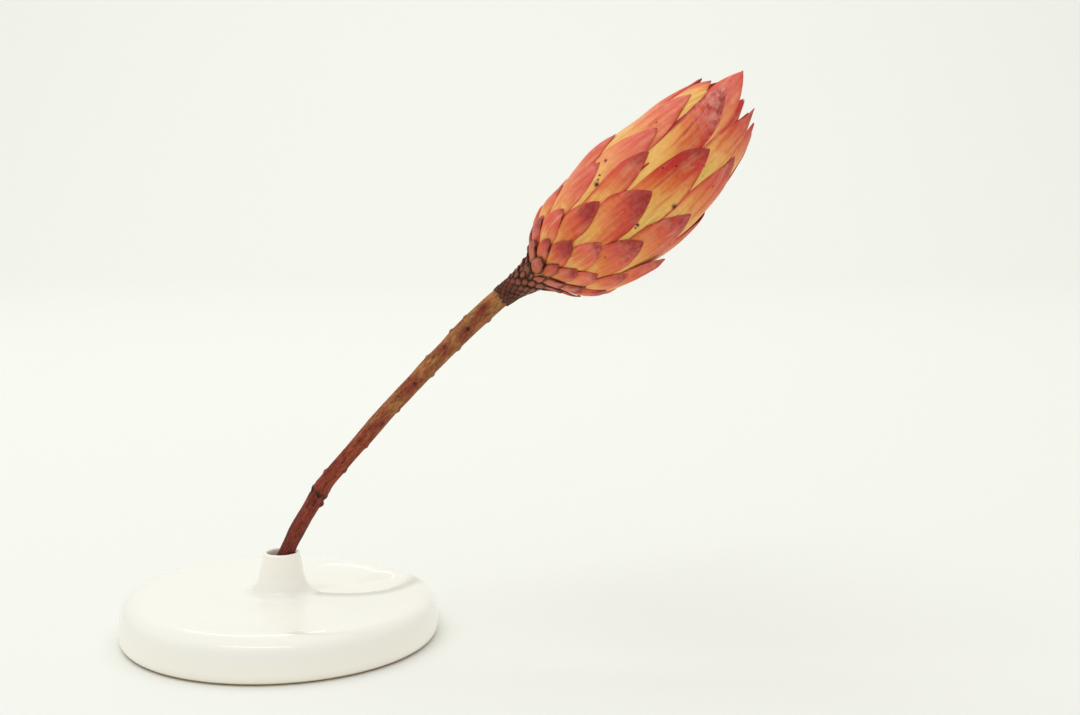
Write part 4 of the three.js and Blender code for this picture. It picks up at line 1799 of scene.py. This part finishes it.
@dataclass
class Bracts:
    """All the bracts of the head, the ones with a CAD node and the ones tucked inside and below."""

    maker: BractMaker
    count: int = 56
    lowest: int = -13
    folded: int = 39
    fold_turn: float = 18.0
    fold_drop: float = 7.2
    habits: dict[int, Habit] = field(
        default_factory=lambda: {
            -8: Habit(lift=1.6, turn=-3),
            -3: Habit(lift=1.0),
            8: Habit(lift=-1.2, turn=-2),
            13: Habit(turn=1.5),
            16: Habit(lift=-2.5, turn=-5),
            18: Habit(lift=0.6),
            21: Habit(turn=1, width=0.9),
            24: Habit(lift=-3.1),
            26: Habit(lift=1.4, turn=-1, sweep=5, width=0.86),
            29: Habit(lift=-1.4, turn=2, sweep=6, width=1.05),
            31: Habit(sweep=7),
            32: Habit(lift=-5.4, turn=-8, flare=1.2, keel=1.2, hug=0.1),
            34: Habit(lift=0.5, turn=4, sweep=5),
            36: Habit(lift=-0.8, turn=14),
            37: Habit(lift=-1.0, sweep=2, width=1.1),
            39: Habit(lift=2.5, turn=-3, width=0.9),
            40: Habit(lift=-4.6, turn=-13),
            42: Habit(lift=0.8, turn=-9, sweep=7, width=1.1),
            44: Habit(lift=2.3, turn=14, width=1.15),
            45: Habit(lift=-2.2, turn=-9, sweep=-8, width=1.2),
            47: Habit(lift=3.4, turn=4, sweep=-17, keel=0.6, width=0.82, taper=12, hug=0.6),
            49: Habit(lift=-4, turn=4),
            50: Habit(lift=0.7, turn=-9, sweep=7, width=0.78, hug=0.5, tears=(Tear(Side.LEFT, 3.6, 1.5, 0.2),)),
            52: Habit(
                lift=3.5, turn=37, sweep=-34, width=0.92, fullness=1.1, taper=14, hug=0.3,
                tears=(Tear(Side.RIGHT, 3.4, 0.9, 0.12), Tear(Side.RIGHT, 5.8, 1.2, 0.16)),
            ),
            53: Habit(lift=-4.5, turn=32, hug=0.0, flare=0.6, tears=(Tear(Side.LEFT, 4.6, 1.0, 0.25),)),
            55: Habit(lift=-4.6, turn=3, ragged=2.6, width=0.8, hug=0.3),
        }
    )
    inner: dict[int, Triple] = field(
        default_factory=lambda: {
            56: (99.0, 0.0, 1.0), 57: (94.6, 13.0, 1.95), 58: (97.0, 4.0, 1.0), 59: (99.0, 0.0, 1.0),
            60: (94.0, 0.0, 1.2), 61: (95.0, -20.0, 1.3), 62: (94.5, 0.0, 1.2),
        }
    )
    blushes: dict[int, Blush] = field(
        default_factory=lambda: {
            0: Blush(2.0, 8.5, 0.9, brown=0.5),
            5: Blush(3.0, 9.5, 0.8, brown=0.3, rich=0.6),
            8: Blush(3.0, 10, 0.7, 0.3, brown=0.2, rich=0.6),
            13: Blush(5.6, 12, 0.7, 0.15, rim=0.8, rich=0.8),
            16: Blush(2.6, 12.5, 0.7, 0.3, rich=0.4),
            18: Blush(2.2, 13.5, 0.2, 0.3, rich=0.2),
            21: Blush(3.5, 13.5, 0.6, 0.5),
            24: Blush(4.5, 15, 0.3, 0.3, rich=0.6),
            26: Blush(7.0, 21, 0.6, 0.15, lean=0.4, rim=0.9, rich=0.85),
            29: Blush(7.0, 21, 0.3, 0.35, rich=0.8),
            31: Blush(2.5, 24, 0.2, 0.3, rich=0.1),
            32: Blush(4.5, 22, 0.2, 0.4, rich=0.6),
            34: Blush(8.0, 27, 0.35, 0.15, lean=0.8, rim=0.9, rich=0.85),
            36: Blush(3.0, 26, 0.0, 0.3, rich=0.3),
            37: Blush(7.0, 26, 0.2, 0.3, rich=0.8),
            39: Blush(1.5, 27, 0.0, 0.3, rich=0.05),
            40: Blush(6.0, 26, 0.5, 0.1, rich=0.8),
            42: Blush(4.5, 28, 0.2, 0.15, lean=-1.3, green=0.3, rim=1.0, rich=0.95, ridge_and_fold_shade=0.5),
            44: Blush(1.5, 28, 0.1, 0.5, rim=0.9, rich=0.05),
            45: Blush(6.0, 26, 0.1, 0.4, rim=0.8, rich=0.6),
            47: Blush(9.0, 29, 0.15, 0.8, lean=1.2, rim=1.0, rich=0.95, ridge_and_fold_shade=1.0),
            49: Blush(1.5, 28, 0.0, 0.3, rim=0.8, rich=0.2),
            50: Blush(4.0, 20, 0.05, 0.5, green=0.6, rim=1.0, rich=0.6),
            52: Blush(0.5, 34, 0.0, 0.25, lean=-1.7, rim=0.9, rich=0.1),
            53: Blush(2.0, 28, 0.0, 0.5, rim=0.8, rich=0.4),
            55: Blush(1.0, 30, 0.0, 0.0, rim=1.0, rich=0.8),
            57: Blush(1.0, 11, lean=-1.6, rim=0.2, rich=0.4),
        }
    )

    spots: tuple[Triple, ...] = (
        (41.0, -37, 1.15), (42.4, -39, 0.55), (43.7, -41, 0.4), (48.5, -48, 0.7), (56.7, 28, 1.15),
        (43.1, 18, 0.8), (41.8, 18.5, 0.45), (65.7, 0, 0.4), (71.6, 45, 0.35), (70.1, -48, 0.4),
        (27.7, 21, 0.4), (47.7, 63, 0.7), (61.9, -7, 0.3), (73.0, 20, 0.25),
    )

    def __post_init__(self) -> None:
        """Plans every blade, then tells each which ones it covers."""
        blade = self.maker.blade
        self.outer = {number: blade(number, self.habits.get(number, Habit())) for number in range(self.count)}
        self.innermost = {
            number: blade(number, Habit(turn=turn, width=width), tip)
            for number, (tip, turn, width) in self.inner.items()
        }
        self.low = {number: self._low_blade(number) for number in range(self.lowest, 0)}
        whole = self.outer[self.folded]
        self.fold = Blade(
            whole.head, whole.number - 0.4, whole.angle + math.radians(self.fold_turn), whole.tip - self.fold_drop,
            whole.base + 8.0, math.radians(11.5), 15.0, Habit(sweep=-4), raised=0.1,
        )
        blades = (*self.outer.values(), self.fold, *self.innermost.values(), *self.low.values())
        self.maker.stack(blades)

    def blemishes(self) -> tuple[Blemish, ...]:
        """The places of the few brown spots on the head's skin."""
        head = self.maker.head
        turn = head.stand.to_3x3()
        up = turn @ Vector((0.0, 0.0, 1.0))
        found = []
        for height, degrees, radius in self.spots:
            angle = math.radians(degrees)
            place = head.stand @ head.under_outline(height, 1.0, angle)
            found.append(Blemish(place, turn @ head.across(angle), up, turn @ head.outward(angle), radius))
        return tuple(found)

    def _rank(self, number: int) -> float:
        """The place of a low scale between the lowest and the first bract, from 0 to 1."""
        return (number - self.lowest) / -self.lowest

    def _low_blade(self, number: int) -> Blade:
        """The blade of one of the short scales just below the first bract."""
        head, rank = self.maker.head, self._rank(number)
        habit = self.habits.get(number, Habit())
        angle = head.angle(number) + math.radians(habit.turn)
        tip = head.tips.at(number) + habit.lift
        half, taper = math.radians(lerp(22.5, 19.5, rank)), lerp(5.0, 7.0, rank)
        base = tip - lerp(5.5, 8.5, rank)
        return Blade(head, number, angle, tip, base, half, taper, Habit(hug=0.75), raised=0.25)

    def _usual_blush(self, number: int) -> Blush:
        """Varies the colours of a bract that nothing singles out.

        Args:
            number: The bract's number, which sets them.

        Returns:
            The run of its colours.
        """
        odd, other = chance(number, start=1.7), chance(number, 39.346, 2.3, 24634.6345)
        place = min(1.0, max(0.0, number / 50))
        return Blush(
            dark=lerp(3.0, 4.5, place) + 3.0 * odd * (1 - abs(place - 0.6)),
            reach=lerp(8.5, 27.0, place) * (0.88 + 0.25 * other),
            purple=min(1.0, max(0.0, 0.85 - 1.2 * place) + 0.2 * other),
            frost=0.15 + 0.4 * other,
            lean=(odd - 0.5) * 1.2,
            green=0.1 + 0.3 * odd,
            rim=0.5 + 0.4 * other,
            brown=smoothstep(-number, -10.0, 6.0) * 0.9,
            rich=0.25 + 0.55 * odd,
        )

    def build_outer(self) -> dict[int, Piece]:
        """Makes the bracts that have a CAD node.

        Returns:
            The pieces by number.
        """
        pieces = {}
        for number, blade in self.outer.items():
            name = f"bract_blade_{number:02d}"
            piece = self.maker.cut(name, blade, self.blushes.get(number, self._usual_blush(number)))
            if number == self.folded:
                flap = self.maker.cut("fold", self.fold, Blush(6.0, 24, lean=-0.6, rim=1.0, rich=0.6))
                piece = Bench.join([piece, flap], name)
            pieces[number] = piece
        return pieces

    def build_inner(self) -> Piece:
        """Makes the innermost bracts, which close over the florets, as one piece."""
        usual = Blush(2.0, 16, rim=0.9, rich=0.4)
        pieces = [
            self.maker.cut(f"inner_{number}", blade, self.blushes.get(number, usual))
            for number, blade in self.innermost.items()
        ]
        return Bench.join(pieces, "innermost_bracts")

    def build_lowest(self) -> Piece:
        """Makes the short scales just below the first bract, as one piece."""
        pieces = []
        for number, blade in self.low.items():
            rank = self._rank(number)
            dark, reach, brown = lerp(1.6, 2.6, rank) + chance(number), lerp(6.0, 8.5, rank), lerp(1.0, 0.7, rank)
            blush = Blush(dark, reach, 1.0, 0.45, green=0.0, rim=0.4, brown=brown, rich=0.6)
            pieces.append(self.maker.cut(f"lowest_{-number}", blade, blush))
        return Bench.join(pieces, "collar_scales")

    def dress(self, piece: Piece, skin: Material, lining: Material, number: int | None) -> None:
        """Gives a bract its skin and lining, and its CAD node's place where it has one.

        Args:
            piece: The bract, or bracts joined.
            skin: The finish of its outer face.
            lining: The finish of its inner face.
            number: Its number, or None where it has no CAD node.
        """
        piece.data.materials.clear()
        piece.data.materials.append(skin)
        piece.data.materials.append(lining)
        if number is not None:
            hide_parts(f"bract_{number:02d}")
        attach(piece, "root")


# ---- Florets ----


@dataclass
class Florets:
    """The bundle of straight florets that the bracts wrap."""

    head: HeadShape
    count: int = 130
    foot: float = 21.0
    longest: float = 95.0
    outermost_shorter: float = 13.0
    uneven: float = 3.0
    foot_radius: float = 0.55
    rings: tuple[Pair, ...] = (
        (0.2, 0.85), (0.4, 1.0), (0.58, 1.0), (0.72, 1.0), (0.82, 1.12), (0.9, 1.25), (0.96, 0.9), (1.0, 0.3),
    )
    outline: Graduation = Graduation(
        ((20.6, 0.8), (22, 4.5), (27, 8.5), (36, 12.6), (50, 15.6), (62, 15.2), (74, 13.6), (84, 11.2), (91, 7.5),
         (96, 2.5))
    )

    def _pattern(self) -> Piece:
        """Models one floret: a slender rod drawn out ring by ring to a pointed, swollen tip.

        Returns:
            The floret that the others are copied from.
        """
        Bench.clear()
        bpy.ops.mesh.primitive_circle_add(
            vertices=6, radius=self.foot_radius, fill_type="NOTHING", location=(0, 0, 0)
        )
        floret = Bench.named("floret_pattern")
        level, width = 0.0, self.foot_radius
        with Bench.editing(floret):
            bpy.ops.mesh.select_all(action="SELECT")
            for height, radius in self.rings:
                Bench.draw_out((0.0, 0.0, height - level))
                share = radius / width
                bpy.ops.transform.resize(value=(share, share, 1.0), center_override=(0.0, 0.0, height))
                level, width = height, radius
            Bench.draw_out((0.0, 0.0, 0.01))
            bpy.ops.mesh.merge(type="CENTER")
            bpy.ops.mesh.select_all(action="SELECT")
            bpy.ops.mesh.normals_make_consistent(inside=False)
        return floret

    def _bent(self, place: Vector, number: int) -> Vector:
        """Where a point of the pattern goes on one floret of the bundle.

        Args:
            place: The pattern's point.
            number: The floret's number.

        Returns:
            The point in the frame of the whole object, in metres.
        """
        share = math.sqrt((number + 0.5) / self.count)
        odd = chance(number)
        thick = 0.62 + 0.12 * odd
        tip = self.longest - self.outermost_shorter * share**2 - self.uneven * odd
        height = lerp(self.foot, tip, min(1.0, place.z))
        radius = max(0.3, self.outline.at(min(height, 95.9)) - 1.0) * share
        turn = self.head.angle(number) + 0.12 * math.sin(height / 9 + share * 20)
        centre = self.head.beside_axis(height, radius, turn)
        return self.head.placed(centre + Vector((place.x * thick, place.y * thick, 0.0)))

    def build(self) -> Piece:
        """Bends a copy of the pattern for each floret of the bundle.

        Returns:
            The bundle, as one piece.
        """
        pattern = self._pattern()
        florets = []
        for number in range(self.count):
            floret = Bench.copy(pattern, f"floret_{number}")
            seed = chance(number)
            route = [(math.atan2(point.co.y, point.co.x), seed, point.co.z) for point in floret.data.vertices]
            Bench.shape(floret, lambda place, number=number: self._bent(place, number))
            Bench.record(floret, "floret_route", route)
            florets.append(floret)
        Bench.discard(pattern)
        bundle = Bench.join(florets, "floret_bundle")
        Bench.smooth(bundle)
        return bundle

    def dress(self, bundle: Piece, finish: Material) -> None:
        """Gives the florets their finish and their CAD node's place."""
        bundle.data.materials.append(finish)
        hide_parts("florets")
        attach(bundle, "root")


# ---- Studio ----


@dataclass(frozen=True)
class Softbox:
    """One area light, by where it stands, what it faces and its size, in metres."""

    name: str
    place: Triple
    target: Triple
    size: Pair
    watts: float
    mirrored: bool = False


@dataclass
class Studio:
    """A pale paper sweep under soft light, and the camera."""

    half_width: float = 3.0
    front: float = -3.0
    back: float = 1.6
    sweep_radius: float = 0.9
    sweep_steps: int = 24
    wall_height: float = 2.6
    sky: Colour = (1.0, 1.0, 0.985, 1.0)
    sky_strength: float = 0.755
    camera_place: Triple = (0.09434, -0.52872, 0.17149)
    camera_pitch_degrees: float = 7.56
    lens: float = 50.0
    lights: tuple[Softbox, ...] = (
        Softbox("overhead", (-0.35, -0.25, 1.7), (0.05, 0.0, 0.05), (1.5, 1.3), 8.7),
        Softbox("wall_wash", (0.0, 0.9, 2.2), (0.0, 2.6, 0.3), (3.0, 0.5), 15.6),
        Softbox("front_strip", (-0.12, -0.36, 0.97), (0.0, -0.05, 0.01), (0.7, 0.05), 0.9, mirrored=True),
        Softbox("back_strip", (-0.25, 1.15, 0.66), (0.0, -0.05, 0.01), (0.26, 0.034), 0.11, mirrored=True),
    )

    def build(self) -> Piece:
        """Hangs the paper, sets the lights, the sky and the camera.

        Returns:
            The paper sweep.
        """
        paper = self._hang_paper()
        self._light_sky()
        for softbox in self.lights:
            self._set_light(softbox)
        self._set_camera()
        return paper

    def _hang_paper(self) -> Piece:
        """Draws the floor up into the wall along a wide sweep.

        Returns:
            The paper.
        """
        Bench.clear()
        middle = (self.front + self.back) / 2
        bpy.ops.mesh.primitive_plane_add(size=1.0, location=(0.0, middle, -0.02 * MM))
        paper = Bench.named("paper_sweep")
        bpy.ops.transform.resize(value=(2 * self.half_width, self.back - self.front, 1.0))
        bpy.ops.object.transform_apply(location=True, rotation=True, scale=True)
        turns = [step / self.sweep_steps * math.pi / 2 for step in range(self.sweep_steps + 1)]
        with Bench.editing(paper):
            Bench.select_points(paper, lambda place: place.y > self.back - 0.01)
            for low, high in zip(turns, turns[1:]):
                out = (math.sin(high) - math.sin(low)) * self.sweep_radius
                rise = (math.cos(low) - math.cos(high)) * self.sweep_radius
                Bench.draw_out((0.0, out, rise))
            Bench.draw_out((0.0, 0.0, self.wall_height))
            bpy.ops.mesh.select_all(action="SELECT")
            bpy.ops.mesh.normals_make_consistent(inside=False)
        Bench.smooth(paper)
        paper.data.materials.append(PaperFinish().make())
        return paper

    def _light_sky(self) -> None:
        """Fills the studio with even light from all round."""
        world = bpy.data.worlds.new("studio light")
        bpy.context.scene.world = world
        world.use_nodes = True
        world.node_tree.nodes.clear()
        table = PaintTable(world.node_tree)
        sky = table.node("ShaderNodeBackground", {"Color": self.sky, "Strength": self.sky_strength})
        table.node("ShaderNodeOutputWorld", {"Surface": sky.outputs[0]})

    def _set_light(self, softbox: Softbox) -> None:
        """Sets up one softbox.

        Args:
            softbox: Where it stands, what it faces, its size and its power.
        """
        Bench.clear()
        facing = (Vector(softbox.target) - Vector(softbox.place)).to_track_quat("-Z", "Y")
        bpy.ops.object.light_add(type="AREA", location=softbox.place, rotation=facing.to_euler())
        light = bpy.context.view_layer.objects.active
        light.name = softbox.name
        light.data.shape = "RECTANGLE"
        light.data.size, light.data.size_y = softbox.size
        light.data.energy = softbox.watts
        light.visible_camera = False
        light.visible_diffuse = not softbox.mirrored
        light.visible_glossy = softbox.mirrored

    def _set_camera(self) -> None:
        """Sets up the camera and how its view is shown."""
        Bench.clear()
        tilt = math.radians(90.0 - self.camera_pitch_degrees)
        bpy.ops.object.camera_add(location=self.camera_place, rotation=(tilt, 0.0, 0.0))
        camera = bpy.context.view_layer.objects.active
        camera.name = "camera"
        camera.data.lens = self.lens
        camera.data.sensor_width = 36.0
        camera.data.clip_start = 0.01
        scene = bpy.context.scene
        scene.camera = camera
        scene.view_settings.view_transform = "Standard"
        scene.view_settings.look = "None"


# ---- Main ----


def report(piece: Piece) -> None:
    """Says what was made."""
    log.info("%s: %d faces", piece.name, len(piece.data.polygons))


def main() -> None:
    """Builds the whole object and its studio, and reports each piece."""
    logging.basicConfig(level=logging.INFO, format="%(name)s: %(message)s")
    head = HeadShape()
    effects = {Effect.GRAIN: grain(), Effect.MOTTLE: mottle(), Effect.SPECKS: specks()}
    for maker, finish in (
        (Vase(), GlazeFinish()),
        (Stem(head), BarkFinish()),
        (NeckScales(head), ScaleFinish()),
        (Florets(head), FloretFinish()),
    ):
        piece = maker.build()
        maker.dress(piece, finish.make(effects))
        report(piece)

    bracts = Bracts(BractMaker(head))
    skin = BractSkinFinish(blemishes=bracts.blemishes()).make(effects)
    lining = BractLiningFinish().make(effects)
    for number, piece in bracts.build_outer().items():
        bracts.dress(piece, skin, lining, number)
        report(piece)
    for piece in (bracts.build_inner(), bracts.build_lowest()):
        bracts.dress(piece, skin, lining, None)
        report(piece)
    Bench.discard(bracts.maker.pattern)

    report(Studio().build())
    Bench.clear()


if __name__ == "__main__":
    main()
